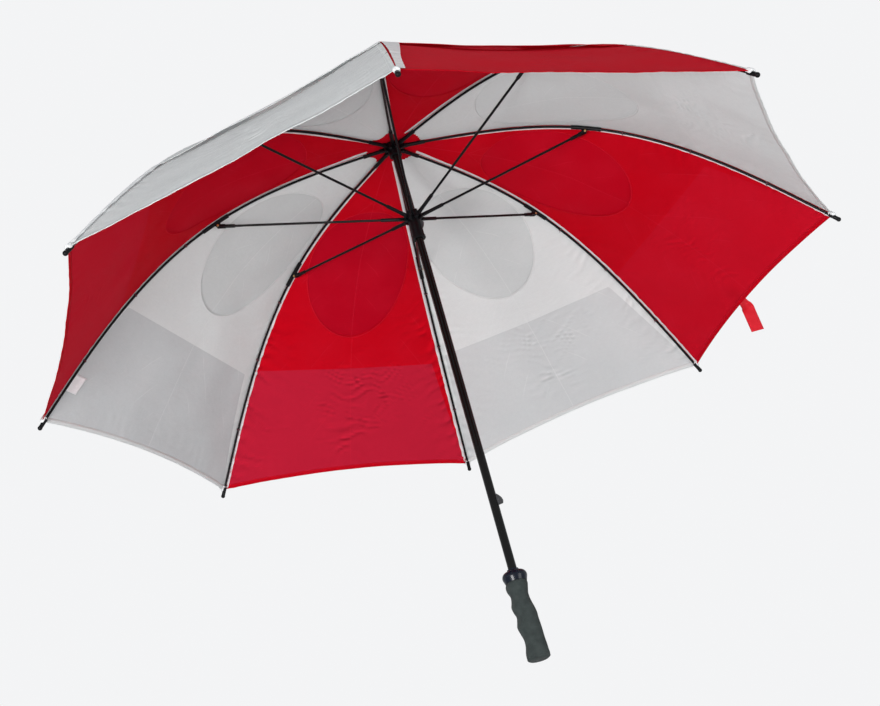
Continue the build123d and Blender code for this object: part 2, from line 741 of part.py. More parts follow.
# ---------------------------------------------------------------- handle
COLLAR_R = 18.3
COLLAR_FOOT_R = 16.0
COLLAR_NECK_R = 9.2
COLLAR_FOOT = GRIP_TOP + 0.1
COLLAR_SIDE = (17.9, COLLAR_FOOT + 6.0)
COLLAR_WIDEST = (COLLAR_R, COLLAR_FOOT + 9.5)
COLLAR_SHOULDER = (16.1, COLLAR_TOP - 2.6)
COLLAR_NECK = (COLLAR_NECK_R, COLLAR_TOP - 1.6)
COLLAR_RIM = (COLLAR_NECK_R - 0.6, COLLAR_TOP + 2.9)

with BuildPart() as handle_collar:
    with BuildSketch(Plane.XZ):
        with BuildLine():
            Polyline(
                (SHAFT_R + BORE_ROOM, COLLAR_FOOT),
                (COLLAR_FOOT_R, COLLAR_FOOT),
                COLLAR_SIDE,
            )
            Spline(COLLAR_SIDE, COLLAR_WIDEST, COLLAR_SHOULDER, COLLAR_NECK)
            Polyline(
                COLLAR_NECK,
                COLLAR_RIM,
                (SHAFT_R + BORE_ROOM, COLLAR_RIM[1]),
                (SHAFT_R + BORE_ROOM, COLLAR_FOOT),
            )
        make_face()
    revolve(axis=Axis.Z)
export(handle_collar.part, "handle_collar")

# Each section of the grip: height, half width across X, half width across Y, shift in X.
# The low X side has the finger hollows, and the high X side is one long gentle S.
GRIP_EDGE = 2.6
GRIP_SECTIONS = (
    (3.0, 16.4, 16.2, 1.9),
    (12.0, 16.5, 16.4, 2.1),
    (21.0, 15.4, 15.9, 3.0),
    (32.0, 14.9, 15.6, 3.0),
    (43.0, 16.2, 15.5, 1.6),
    (51.0, 17.0, 15.3, 0.6),
    (59.0, 15.8, 15.0, 1.3),
    (66.0, 15.2, 14.8, 1.9),
    (74.0, 15.9, 14.8, 0.2),
    (81.0, 15.6, 14.7, -1.2),
    (88.0, 13.9, 14.5, -1.0),
    (96.0, 13.2, 14.6, -0.7),
    (106.0, 15.8, 15.6, -1.3),
    (GRIP_TOP - 3, 16.2, 16.0, -0.5),
    (GRIP_TOP, 15.2, 15.2, 0.0),
)

with BuildPart() as grip:
    for height, half_x, half_y, shift in GRIP_SECTIONS:
        with BuildSketch(Plane.XY.offset(height)):
            with Locations((shift, 0)):
                Ellipse(half_x, half_y)
    loft()
    foot_height, foot_x, foot_y, foot_shift = GRIP_SECTIONS[0]
    with BuildSketch(Plane.XY.offset(foot_height)):
        with Locations((foot_shift, 0)):
            Ellipse(foot_x, foot_y)
    extrude(amount=-foot_height)
    fillet(grip.edges().group_by(Axis.Z)[0], GRIP_EDGE)
    with BuildSketch(Plane.XY.offset(SHAFT_FOOT - BORE_ROOM)):
        Circle(SHAFT_R + BORE_ROOM)
    extrude(amount=GRIP_TOP, mode=Mode.SUBTRACT)
export(grip.part, "grip")

# ---------------------------------------------------------------- strap and care label
STRAP_W = 19.0
STRAP_LENGTH = 64.0
STRAP_THICK = 1.0
STRAP_CORNER = 2.0
STRAP_SHARE = 0.12  # place along the hem, as a share of its half length
STRAP_GORE = 1

edge_x, edge_z = gore_point(HEM_S, CLOTH_LIFT + CLOTH)
edge_half = edge_x * tan(radians(HALF_SECTOR))
strap_plane = Plane(
    origin=(edge_x + STACK_ROOM, STRAP_SHARE * edge_half, edge_z),
    x_dir=(0, 1, 0),
    z_dir=(1, 0, 0),
)
with BuildPart() as tie_strap:
    with BuildSketch(strap_plane):
        with Locations((0, -STRAP_LENGTH / 2)):
            RectangleRounded(STRAP_W, STRAP_LENGTH, STRAP_CORNER)
    extrude(amount=STRAP_THICK)
export(
    tie_strap.part.rotate(Axis.Z, HALF_SECTOR + (STRAP_GORE - 1) * SECTOR_ANGLE),
    "tie_strap",
)

LABEL_W = 24.0
LABEL_H = 32.0
LABEL_THICK = 0.5
LABEL_DROP = 1.2  # below the canopy's underside
LABEL_S = 0.885
LABEL_GORE = 4

label_x, label_z = gore_point(LABEL_S, CLOTH_LIFT - LABEL_DROP)
label_half = label_x * tan(radians(HALF_SECTOR))
label_plane = Plane(
    origin=(label_x, label_half - LABEL_W, label_z),
    x_dir=(0, 1, 0),
    z_dir=(-sin(slope(LABEL_S)), 0, -cos(slope(LABEL_S))),
)
with BuildPart() as care_label:
    with BuildSketch(label_plane):
        Rectangle(LABEL_W, LABEL_H)
    extrude(amount=LABEL_THICK)
export(
    care_label.part.rotate(Axis.Z, HALF_SECTOR + (LABEL_GORE - 1) * SECTOR_ANGLE),
    "care_label",
)
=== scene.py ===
import json
from math import cos, pi, radians, sin, tau

import bpy
import numpy as np
from mathutils import Matrix, Vector


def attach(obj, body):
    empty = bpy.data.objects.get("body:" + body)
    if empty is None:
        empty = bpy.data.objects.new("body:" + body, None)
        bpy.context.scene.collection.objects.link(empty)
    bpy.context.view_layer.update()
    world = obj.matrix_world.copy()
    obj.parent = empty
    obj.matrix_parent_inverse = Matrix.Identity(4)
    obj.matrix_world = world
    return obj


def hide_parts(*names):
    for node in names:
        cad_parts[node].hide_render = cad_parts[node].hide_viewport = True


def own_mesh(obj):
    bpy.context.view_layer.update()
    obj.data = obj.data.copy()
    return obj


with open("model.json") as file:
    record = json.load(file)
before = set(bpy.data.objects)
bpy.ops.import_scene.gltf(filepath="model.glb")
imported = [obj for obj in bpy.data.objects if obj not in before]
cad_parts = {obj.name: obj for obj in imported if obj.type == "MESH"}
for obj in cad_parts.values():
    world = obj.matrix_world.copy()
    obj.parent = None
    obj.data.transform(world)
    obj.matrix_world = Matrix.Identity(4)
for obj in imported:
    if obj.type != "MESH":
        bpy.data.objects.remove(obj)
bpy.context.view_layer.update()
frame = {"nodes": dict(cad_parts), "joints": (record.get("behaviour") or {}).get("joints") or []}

# A golf umbrella, open and seen from below. Metres. The shaft is the Z axis, rib k stands at
# (k - 1) * 45 degrees from +X, and gore k is the cloth between rib k and rib k + 1.

# ---------------------------------------------------------------- driving dimensions
MM = 0.001
SECTORS = 8
SECTOR = tau / SECTORS
HALF = SECTOR / 2
PLACES = {joint["name"]: joint.get("pos_m") for joint in frame["joints"]}
HUB_R, _, CROWN_Z = PLACES["rib_1_hinge"]
RIB_LENGTH = 0.7517
JOINT_S = 0.4127  # share of the rib's length at the stretcher, where each gore folds
ROOT_SLOPE = radians(4.4)
RIB_BEND = radians(44.9)
VENT_S = 0.69  # share of the rib's length that the vent flap covers at mid gore
FLAP_SLANT = 0.009  # and how much further it reaches at the gore's low side
HEM_S = 0.985
HEM_DIP = 0.022  # how far the hem's middle is cut in, as a share of the rib's length
VENT_HALF = 0.094  # half width of the vent hole
VENT_UP = 0.150  # from the fold line to the hole's end towards the crown
VENT_DOWN = 0.142  # and towards the hem
FIRST_S = 0.008
CLOTH_LIFT = 3.4 * MM  # main canopy above the ribs' centre lines
CROWN_LIFT = 2.2 * MM  # and how much more at the crown
FLAP_LIFT = 0.25 * MM  # vent flap above the main canopy at the crown
FLAP_CLEAR = 0.9 * MM  # and how much more away from it
FLAP_OPEN = 6.0 * MM  # how far the flap's free edge stands off at mid gore
SAG = 0.011  # how far the cloth's middle hangs inside the straight line from rib to rib
BAND_FOOT = 0.012  # width of a corner band at the hem, as a share of the gore's half width
BAND_ROOT = (0.124, 0.045)  # and at the flap, on the gore's low and high side
NUDGE = 1e-3  # small step in s or v, to measure a slope


# ---------------------------------------------------------------- the ribs' bent line
def slope(s):
    """How steeply a rib falls at the share s of its length. The bend fades at both ends."""
    inner = ROOT_SLOPE + RIB_BEND * s * s / JOINT_S
    outer = ROOT_SLOPE + RIB_BEND * (1 - (1 - s) ** 2 / (1 - JOINT_S))
    return np.where(s < JOINT_S, inner, outer)


STEPS = 1200
SHARES = np.linspace(0, 1, STEPS + 1)
MIDS = slope((SHARES[1:] + SHARES[:-1]) / 2)
LINE_R = HUB_R + np.r_[0, np.cumsum(np.cos(MIDS))] * RIB_LENGTH / STEPS
LINE_Z = CROWN_Z - np.r_[0, np.cumsum(np.sin(MIDS))] * RIB_LENGTH / STEPS


def along(s, lift):
    """Radius and height at the share s of a rib, lifted square to it."""
    s = np.asarray(s, float)
    radius = np.interp(s, SHARES, LINE_R) + lift * np.sin(slope(s))
    height = np.interp(s, SHARES, LINE_Z) + lift * np.cos(slope(s))
    return radius, height


def half_width(s):
    """Half of a gore's width, from its middle to the rib."""
    return along(s, 0.0)[0] * sin(HALF)


def turned(points, angle):
    """Points turned about the shaft."""
    x, y = points[..., 0], points[..., 1]
    out = np.array(points, float)
    out[..., 0] = x * cos(angle) - y * sin(angle)
    out[..., 1] = x * sin(angle) + y * cos(angle)
    return out


def mid_angle(k):
    return (k - 0.5) * SECTOR


def rib_angle(k):
    return (k - 1) * SECTOR


def is_red(k):
    return k % 2 == 1


# ---------------------------------------------------------------- shape of the cloth
def smooth(x):
    """0 up to x = 0, 1 from x = 1, and an even turn between them."""
    x = np.clip(x, 0, 1)
    return x * x * (3 - 2 * x)


def main_lift(s):
    """Height of the main canopy's cloth above the ribs' centre lines."""
    return CLOTH_LIFT + CROWN_LIFT * np.exp(-((s / 0.05) ** 2))


def flap_gap(s, v):
    """Room between the main canopy and the vent flap, which stands off most at mid gore."""
    free = smooth((s - 0.5) / 0.2)
    return FLAP_LIFT + FLAP_CLEAR * smooth(s / 0.06) + (1 - v * v) * free * FLAP_OPEN


def noise_at(points, scale, seed):
    """Smooth uneven values between about -1 and 1, from a few crossed waves."""
    total = np.zeros(len(points))
    for i in range(5):
        way = 1.3 * seed + 2.4 * i
        size = tau * scale * (0.35 + 0.17 * i)
        ahead = points @ np.array([cos(way), sin(way)])
        aside = points @ np.array([-sin(way), cos(way)])
        total += np.sin(size * ahead + 1.4 * np.sin(0.7 * size * aside + seed) + (3 + 2 * i) * seed)
    return total / 3


# How slack each gore is. The third one has the deepest folds.
SLACK = {1: 0.35, 2: 0.45, 3: 1.1, 4: 0.15, 5: 0.2, 6: 0.35, 7: 0.3, 8: 0.4}
# How little its lower part differs in painted light and shade from where it has the flap behind it.
LAYER_LIGHT_EVEN = {1: 0.75, 2: 0.25, 3: 0.0, 4: 0.0, 5: 0.6, 6: 0.6, 7: 0.8, 8: 0.85}


def wave(phase):
    """A rounded ridge and a sharper valley, between -1 and 1."""
    return 0.8 * np.sin(phase) + 0.2 * np.cos(2 * phase)


BOWED_PITCH, BOWED_HEIGHT = 14.5 * MM, 1.35 * MM  # folds just below the flap's edge
LONG_PITCH, LONG_HEIGHT = 23 * MM, 1.8 * MM  # folds nearer the hem
PULL_PITCH, PULL_HEIGHT = 23 * MM, 3.0 * MM  # pulls at the ribs
PULL_REACH = 30 * MM


def spot(s, y, centre, size):
    """1 at the middle of a patch of the gore, fading round it. centre and size are a share
    of the rib's length and metres across."""
    return np.exp(-((s - centre[0]) / size[0]) ** 2) * np.exp(-((y - centre[1]) / size[1]) ** 2)


def folds(s, v, k):
    """Height of the sharp little folds of slack cloth: a patch of bowed ones under the
    flap's edge, longer ones below it, and pulls where the cloth is tied to the ribs."""
    x, y = s * RIB_LENGTH, v * half_width(s)
    flat = np.c_[x.ravel(), y.ravel()]
    drift = noise_at(flat, 14.0, 5.7 * k).reshape(s.shape)
    patch = noise_at(flat, 30.0, 3.1 * k + 0.5).reshape(s.shape)
    some = np.clip(0.6 + 0.9 * patch, 0.1, 1.2)
    bowed = wave(tau * (x + 3.0 * (y + 0.01) ** 2) / BOWED_PITCH + 5 * drift)
    near = spot(s, y, (0.755, -0.02), (0.07, 0.08))
    longer = wave(tau * (x - 2.0 * (y - 0.01) ** 2) / LONG_PITCH + 5 * drift)
    below = spot(s, y, (0.87, 0.01), (0.055, 0.05))
    beside = (1 - np.abs(v)) * half_width(s)
    pull = wave(tau * (x - 0.45 * beside) / PULL_PITCH + 3 * drift)
    tied = np.exp(-beside / PULL_REACH) * smooth(beside / (5 * MM)) * smooth((s - 0.45) / 0.2)
    ridges = BOWED_HEIGHT * bowed * near + LONG_HEIGHT * longer * below + PULL_HEIGHT * pull * tied
    return SLACK[k] * some * ridges


SWELL_HEIGHT = 1.3 * MM
GATHER_PITCH, GATHER_HEIGHT = 31 * MM, 0.2 * MM


def wrinkles(s, v, k):
    """Shape of the stretched cloth, square to it: broad swells, its sharp folds and small
    gathers along the hem."""
    x, y = s * RIB_LENGTH, v * half_width(s)
    flat = np.c_[x.ravel(), y.ravel()]
    broad = noise_at(flat, 8.0, 7.3 * k).reshape(s.shape)
    held = smooth((1 - np.abs(v)) / 0.35)
    gather = np.sin(tau * y / GATHER_PITCH + 4 * broad) * smooth((s - 0.86) / 0.12)
    soft = (SWELL_HEIGHT * broad + GATHER_HEIGHT * gather) * held
    return (soft + folds(s, v, k)) * smooth(s / 0.08)


def cloth_point(s, v, k, layer, dig=0.0):
    """Points of gore k. layer 0 is the main canopy and 1 the vent flap above it. dig moves
    the points inwards, square to the cloth."""
    s, v = np.asarray(s, float), np.asarray(v, float)
    lift = main_lift(s) + layer * flap_gap(s, v)
    radius, height = along(s, lift)
    hang = SAG * (1 - v * v) * smooth(s / 0.35) * (1.1 - 0.5 * s)
    push = wrinkles(s, v, k) - hang - dig
    x = radius * cos(HALF) + push * np.sin(slope(s))
    y = v * radius * sin(HALF)
    z = height + push * np.cos(slope(s))
    return turned(np.stack([x, y, z], -1), mid_angle(k))


def cloth_normal(s, v, k, layer):
    """The upward unit normal of the cloth."""
    ds = cloth_point(s + NUDGE, v, k, layer) - cloth_point(s - NUDGE, v, k, layer)
    dv = cloth_point(s, v + NUDGE, k, layer) - cloth_point(s, v - NUDGE, k, layer)
    n = np.cross(ds, dv)
    n = n / np.linalg.norm(n, axis=-1, keepdims=True)
    up = np.sign((n * np.array([0, 0, 1])).sum(-1, keepdims=True))
    return n * np.where(up == 0, 1, up)


def hem_share(v):
    """The rim's edge, cut in between the ribs."""
    return HEM_S - HEM_DIP * (1 - v * v)


def flap_share(v):
    """Lower edge of the vent flap, nearly straight."""
    return VENT_S - FLAP_SLANT * v


def flap_cover(s, v):
    """Signed distance into the part of the main canopy that the flap and the bands at its
    corners cover, in metres."""
    middle = (flap_share(v) - s) * RIB_LENGTH
    down = np.clip((s - VENT_S) / (HEM_S - VENT_S), 0, 1)
    root = np.where(v < 0, *BAND_ROOT)
    band = root + (BAND_FOOT - root) * down - (1 - np.abs(v))
    return np.maximum(middle, band * half_width(s))


def hole_cover(s, v):
    """Signed distance from the vent hole's edge, positive where there are two layers."""
    reach = np.where(s < JOINT_S, VENT_UP, VENT_DOWN)
    far = np.hypot((s - JOINT_S) * RIB_LENGTH / reach, v * half_width(s) / VENT_HALF)
    mean_reach = 1.2 * VENT_HALF
    return (far - 1) * mean_reach


# ---------------------------------------------------------------- meshes and attributes
def make_object(name, points, faces, material):
    mesh = bpy.data.meshes.new(name)
    mesh.from_pydata([tuple(p) for p in points], [], faces)
    mesh.validate()
    mesh.polygons.foreach_set("use_smooth", [True] * len(mesh.polygons))
    mesh.materials.append(material)
    obj = bpy.data.objects.new(name, mesh)
    bpy.context.scene.collection.objects.link(obj)
    return obj


def grid_faces(rows, columns, first=0, wrap=False):
    """Faces between rows of points. first is the first point, and wrap joins each row's
    ends."""
    faces = []
    for i in range(rows - 1):
        for j in range(columns - (0 if wrap else 1)):
            a = first + i * columns + j
            b = first + i * columns + (j + 1) % columns
            faces.append((a, b, b + columns, a + columns))
    return faces


def tube_faces(rows, ring):
    """Faces of a tube of rings of points, with a face over each end."""
    last = (rows - 1) * ring
    ends = [tuple(range(ring))[::-1], tuple(last + t for t in range(ring))]
    return grid_faces(rows, ring, wrap=True) + ends


def lathe(profile, turns=32):
    """Points and faces of a profile (radius, height) turned about Z and closed at both
    ends."""
    points = []
    for radius, height in profile:
        for t in range(turns):
            a = tau * t / turns
            points.append((radius * cos(a), radius * sin(a), height))
    return np.array(points), tube_faces(len(profile), turns)


def placed(points, origin, axis):
    """Points turned so that their Z runs along axis, and moved to origin."""
    turn = Vector(axis).to_track_quat("Z", "Y").to_matrix().to_4x4()
    turn.translation = Vector(origin)
    return np.array([turn @ Vector(p) for p in points])


def put_attribute(obj, name, values):
    """A vector for each vertex, which the cloth materials read."""
    attribute = obj.data.attributes.new(name, "FLOAT_VECTOR", "POINT")
    attribute.data.foreach_set("vector", np.asarray(values, float).ravel())


def put_plain(obj, cloth):
    """The cloth attributes of a small piece: far from any seam or hem, and with no folds."""
    put_attribute(obj, "cloth", cloth)
    put_attribute(obj, "edges", np.tile((1.0, 1.0, 0.0), (len(cloth), 1)))


def cloth_piece(name, s, v, faces, k, layer, material, dig=0.0):
    """One piece of a gore, with its own normals, so that pieces meet with no shading seam.
    Its material reads three attributes: cloth is the place along and across the flat gore
    and the signed distance into the doubled part, where it is painted lighter as two layers,
    edges is the distances to the seam and the hem and the folds' slope, which paints shade
    and light on the two sides of each fold, and tone is how even the gore's painted layer light
    and shade is and which layer this is."""
    s, v = np.ravel(s), np.ravel(v)
    points, normals = cloth_point(s, v, k, layer, dig), cloth_normal(s, v, k, layer)
    middle = faces[len(faces) // 2]
    a, b, c = (points[i] for i in middle[:3])
    if np.dot(np.cross(b - a, c - a), normals[middle[0]]) < 0:
        faces = [face[::-1] for face in faces]
    obj = make_object(name, points, faces, material)
    edge = (1 - np.abs(v)) * half_width(s)
    cover = hole_cover(s, v) if layer else flap_cover(s, v)
    put_attribute(obj, "cloth", np.c_[s * RIB_LENGTH, v * half_width(s), cover])
    # The folds' slope, which the material uses to paint shade and light on the two sides of each
    # fold.
    fold_shade_slope = (folds(s + NUDGE, v, k) - folds(s - NUDGE, v, k)) / (2 * NUDGE * RIB_LENGTH)
    # How far the gore's painted layer light and shade is evened out.
    even = np.full_like(s, LAYER_LIGHT_EVEN[k] * (0.5 if layer else 1.0))
    put_attribute(obj, "edges", np.c_[edge, (hem_share(v) - s) * RIB_LENGTH, fold_shade_slope])
    put_attribute(obj, "tone", np.c_[even, np.full_like(s, layer), 0 * s])
    obj.data.normals_split_custom_set_from_vertices(normals)
    return obj


def fold_with(obj, k, part, slot, *nodes):
    """A piece of gore k: it rides on its half of the gore, with a mesh of its own."""
    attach(obj, f"canopy_{part}_{k}")
    if nodes:
        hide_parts(*nodes)
    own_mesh(obj)


# ---------------------------------------------------------------- node helpers
class Nodes:
    """A material's node tree, written as short calls."""

    def __init__(self, name):
        self.material = bpy.data.materials.new(name)
        self.material.use_nodes = True
        self.tree = self.material.node_tree
        self.tree.nodes.clear()

    def add(self, kind, inputs=(), **settings):
        node = self.tree.nodes.new(kind)
        for key, value in settings.items():
            setattr(node, key, value)
        for key, value in dict(inputs).items():
            self.feed(node.inputs[key], value)
        return node

    def feed(self, socket, value):
        if isinstance(value, bpy.types.NodeSocket):
            self.tree.links.new(value, socket)
        elif isinstance(value, bpy.types.Node):
            self.tree.links.new(value.outputs[0], socket)
        else:
            socket.default_value = value

    def math(self, operation, a, b=0.0, c=0.0):
        return self.add("ShaderNodeMath", {0: a, 1: b, 2: c}, operation=operation).outputs[0]

    def mix(self, factor, a, b):
        """The colour a, turning to b as factor goes to 1."""
        return self.add("ShaderNodeMix", {0: factor, 6: a, 7: b}, data_type="RGBA").outputs[2]

    def shade(self, tone, value):
        """The colour tone times a plain number."""
        return self.add("ShaderNodeMix", {0: 1.0, 6: tone, 7: self.join(value, value, value)},
                        data_type="RGBA", blend_type="MULTIPLY").outputs[2]

    def noise(self, vector, scale, detail=3.0, roughness=0.55):
        return self.add("ShaderNodeTexNoise", {"Vector": vector, "Scale": scale, "Detail": detail,
                                               "Roughness": roughness}).outputs[0]

    def ramp(self, value, low, high):
        """0 below low, 1 above high, and an even turn between them."""
        return self.add("ShaderNodeMapRange", {0: value, 1: low, 2: high}, clamp=True,
                        interpolation_type="SMOOTHSTEP").outputs[0]

    def bump(self, height, distance, strength=1.0, normal=None):
        inputs = {"Height": height, "Distance": distance, "Strength": strength}
        if normal is not None:
            inputs["Normal"] = normal
        return self.add("ShaderNodeBump", inputs).outputs[0]

    def place(self):
        """Coordinates in metres that stay with the piece."""
        return self.add("ShaderNodeTexCoord").outputs["Object"]

    def attribute(self, name):
        return self.add("ShaderNodeAttribute", attribute_name=name).outputs["Vector"]

    def split(self, vector):
        node = self.add("ShaderNodeSeparateXYZ", {0: vector})
        return node.outputs[0], node.outputs[1], node.outputs[2]

    def join(self, x, y, z=0.0):
        return self.add("ShaderNodeCombineXYZ", {0: x, 1: y, 2: z}).outputs[0]

    def surface(self, shader):
        self.tree.links.new(shader, self.add("ShaderNodeOutputMaterial").inputs[0])
        return self.material

    def principled(self, **inputs):
        named = {key.replace("_", " "): value for key, value in inputs.items()}
        return self.add("ShaderNodeBsdfPrincipled", named).outputs[0]


def rgb(r, g, b):
    return (r, g, b, 1.0)


WEAVE = 0.55 * MM  # thread spacing of the canopy cloth
STITCH = 3.4 * MM  # length of a stitch and its gap
SEAM_STITCH = 7.5 * MM  # from the seam to the row of stitches beside it
HEM_STITCH = 7.0 * MM


def cloth_material(name, shaded_single, shaded_over_hole, lit_double, warm, glow, gloss, sheen):
    """Thin woven cloth: warp and weft threads, a soft uneven tone, a row of stitches beside
    each seam and along the hem, the creases it was folded in, painted shade and light on the
    two sides of each fold, and some light that comes through from the other side. Its tone holds
    painted light and shade of the layers: shaded_single where there is one layer, shaded_over_hole
    where the flap is seen through a vent hole, and the lighter lit_double where there are two."""
    m = Nodes(name)
    x, y, cover = m.split(m.attribute("cloth"))
    seam, hem, fold_shade_slope = m.split(m.attribute("edges"))
    even, flap, _ = m.split(m.attribute("tone"))
    flat = m.join(x, y)
    warp = m.math("SINE", m.math("MULTIPLY", x, tau / WEAVE))
    weft = m.math("SINE", m.math("MULTIPLY", y, tau / WEAVE))
    weave = m.math("MULTIPLY", warp, weft)
    slub = m.noise(m.join(m.math("MULTIPLY", x, 900.0), m.math("MULTIPLY", y, 60.0)), 1.0, 2.0)
    cloud = m.noise(flat, 11.0, 4.0)
    mottle = m.noise(flat, 160.0, 3.0)
    # Painted light and shade of the layers: lit_double where two layers lie together, the shaded
    # tones elsewhere.
    double_light_mask = m.math("MAXIMUM", m.ramp(cover, -0.9 * MM, 0.9 * MM), even)
    tone = m.mix(double_light_mask, m.mix(flap, shaded_single, shaded_over_hole), lit_double)
    tone = m.mix(m.math("MULTIPLY", m.ramp(cloud, 0.35, 0.75), 0.12), tone, warm)
    thread = m.math("MULTIPLY_ADD", weave, 0.035, m.math("MULTIPLY_ADD", slub, 0.08, 0.91))
    thread = m.math("MULTIPLY_ADD", mottle, 0.06, thread)
    # Painted shade and light: one side of each fold is darkened and the other lightened by its
    # slope.
    thread = m.math("MULTIPLY_ADD", fold_shade_slope, -0.35, thread)
    tone = m.shade(tone, thread)

    def line(distance, half):
        near = m.math("ABSOLUTE", distance)
        return m.math("SUBTRACT", 1.0, m.ramp(near, 0.35 * half, half))

    def stitches(distance, run, at):
        dash = m.ramp(m.math("SINE", m.math("MULTIPLY", run, tau / STITCH)), -0.55, -0.2)
        return m.math("MULTIPLY", line(m.math("SUBTRACT", distance, at), 0.7 * MM), dash)

    sewn = m.math("MAXIMUM", stitches(seam, x, SEAM_STITCH), stitches(hem, y, HEM_STITCH))
    tone = m.mix(m.math("MULTIPLY", sewn, 0.35), tone, warm)
    crease = line(y, 1.1 * MM)
    slant = m.math("SUBTRACT", m.math("MULTIPLY", x, 0.62),
                   m.math("MULTIPLY", m.math("ABSOLUTE", y), 0.78))
    vein = m.math("PINGPONG", m.math("ADD", slant, m.math("MULTIPLY", cloud, 0.012)), 22 * MM)
    vein = m.math("MULTIPLY", line(vein, 0.9 * MM), m.ramp(cloud, 0.48, 0.62))
    crease = m.math("MAXIMUM", m.math("MULTIPLY", crease, m.ramp(mottle, 0.25, 0.5)), vein)
    tone = m.mix(m.math("MULTIPLY", crease, 0.30), tone, warm)
    height = m.math("MULTIPLY_ADD", weave, 0.05, m.math("MULTIPLY", sewn, -0.5))
    height = m.math("ADD", height, m.math("MULTIPLY", crease, 0.5))
    crumple = m.noise(flat, 42.0, 5.0, 0.6)
    normal = m.bump(crumple, 1.3 * MM, 0.6)
    normal = m.bump(height, 0.4 * MM, 0.8, normal)
    rough = m.math("MULTIPLY_ADD", mottle, 0.18, 0.52)
    face = m.principled(Base_Color=tone, Roughness=rough, Normal=normal, Sheen_Weight=0.04,
                        Sheen_Roughness=0.4, Sheen_Tint=sheen, Specular_IOR_Level=gloss)
    back = m.add("ShaderNodeBsdfTranslucent", {"Color": tone, "Normal": normal}).outputs[0]
    both = m.add("ShaderNodeMixShader", {0: glow, 1: face, 2: back}).outputs[0]
    return m.surface(both)


# The cloth tones hold painted light and shade: the cloth is painted lighter where two layers lie
# together and darker where there is one or where the flap shows through a vent hole.
RED = cloth_material(
    "red_canopy_cloth", shaded_single=rgb(0.56, 0.014, 0.040), shaded_over_hole=rgb(0.50, 0.002, 0.014),
    lit_double=rgb(0.64, 0.002, 0.012), warm=rgb(0.72, 0.02, 0.05), glow=0.20, gloss=0.02,
    sheen=rgb(0.9, 0.15, 0.2))
WHITE = cloth_material(
    "white_canopy_cloth", shaded_single=rgb(0.60, 0.62, 0.63), shaded_over_hole=rgb(0.64, 0.66, 0.66),
    lit_double=rgb(0.80, 0.82, 0.82), warm=rgb(0.87, 0.88, 0.88), glow=0.20, gloss=0.12,
    sheen=rgb(1.0, 1.0, 1.0))
BAND = cloth_material(
    "white_band_cloth", shaded_single=rgb(0.88, 0.89, 0.90), shaded_over_hole=rgb(0.88, 0.89, 0.90),
    lit_double=rgb(0.92, 0.93, 0.94), warm=rgb(0.95, 0.95, 0.95), glow=0.15, gloss=0.15,
    sheen=rgb(1.0, 1.0, 1.0))


def moulded_material(name, colour, roughness, grain, coat, wear, gloss):
    """Moulded plastic or lacquered rod: fine grain, soft streaks and dull worn patches."""
    m = Nodes(name)
    where = m.place()
    fine = m.noise(where, 1400.0, 3.0)
    patch = m.noise(where, 60.0, 4.0, 0.65)
    worn = m.math("MULTIPLY", m.ramp(patch, 0.52, 0.78), wear)
    dull = rgb(*(c * 2.2 + 0.01 for c in colour[:3]))
    tone = m.mix(worn, colour, dull)
    rough = m.math("MULTIPLY_ADD", patch, 0.22, roughness - 0.08)
    normal = m.bump(fine, grain, 0.6)
    normal = m.bump(patch, 0.15 * MM, 0.25, normal)
    shader = m.principled(Base_Color=tone, Roughness=rough, Normal=normal, Coat_Weight=coat,
                          Coat_Roughness=0.12, Specular_IOR_Level=gloss)
    return m.surface(shader)


ROD = moulded_material("rib_black", rgb(0.003, 0.003, 0.004), roughness=0.36,
                       grain=0.05 * MM, coat=0.0, wear=0.10, gloss=0.18)
PLASTIC = moulded_material("moulded_black", rgb(0.003, 0.003, 0.004), roughness=0.30,
                           grain=0.03 * MM, coat=0.08, wear=0.12, gloss=0.2)
LACQUER = moulded_material("shaft_lacquer", rgb(0.003, 0.003, 0.003), roughness=0.16,
                           grain=0.01 * MM, coat=0.15, wear=0.06, gloss=0.2)
COLLAR = moulded_material("collar_gloss", rgb(0.003, 0.006, 0.014), roughness=0.26,
                          grain=0.02 * MM, coat=0.12, wear=0.08, gloss=0.25)
CATCH = moulded_material("catch_plastic", rgb(0.030, 0.032, 0.035), roughness=0.42,
                         grain=0.05 * MM, coat=0.0, wear=0.25, gloss=0.5)


def metal_material(name, colour, roughness):
    """Drawn metal with fine lines and a little tarnish."""
    m = Nodes(name)
    where = m.place()
    tarnish = m.noise(where, 300.0, 4.0)
    lines = m.noise(where, 4200.0, 2.0)
    tone = m.mix(m.math("MULTIPLY", m.ramp(tarnish, 0.45, 0.8), 0.5), colour,
                 rgb(*(c * 0.45 for c in colour[:3])))
    rough = m.math("MULTIPLY_ADD", tarnish, 0.25, roughness)
    shader = m.principled(Base_Color=tone, Metallic=1.0, Roughness=rough,
                          Normal=m.bump(lines, 0.03 * MM, 0.5))
    return m.surface(shader)


BRASS = metal_material("rivet_brass", rgb(0.72, 0.48, 0.20), 0.24)
STEEL = metal_material("wire_steel", rgb(0.58, 0.58, 0.60), 0.22)


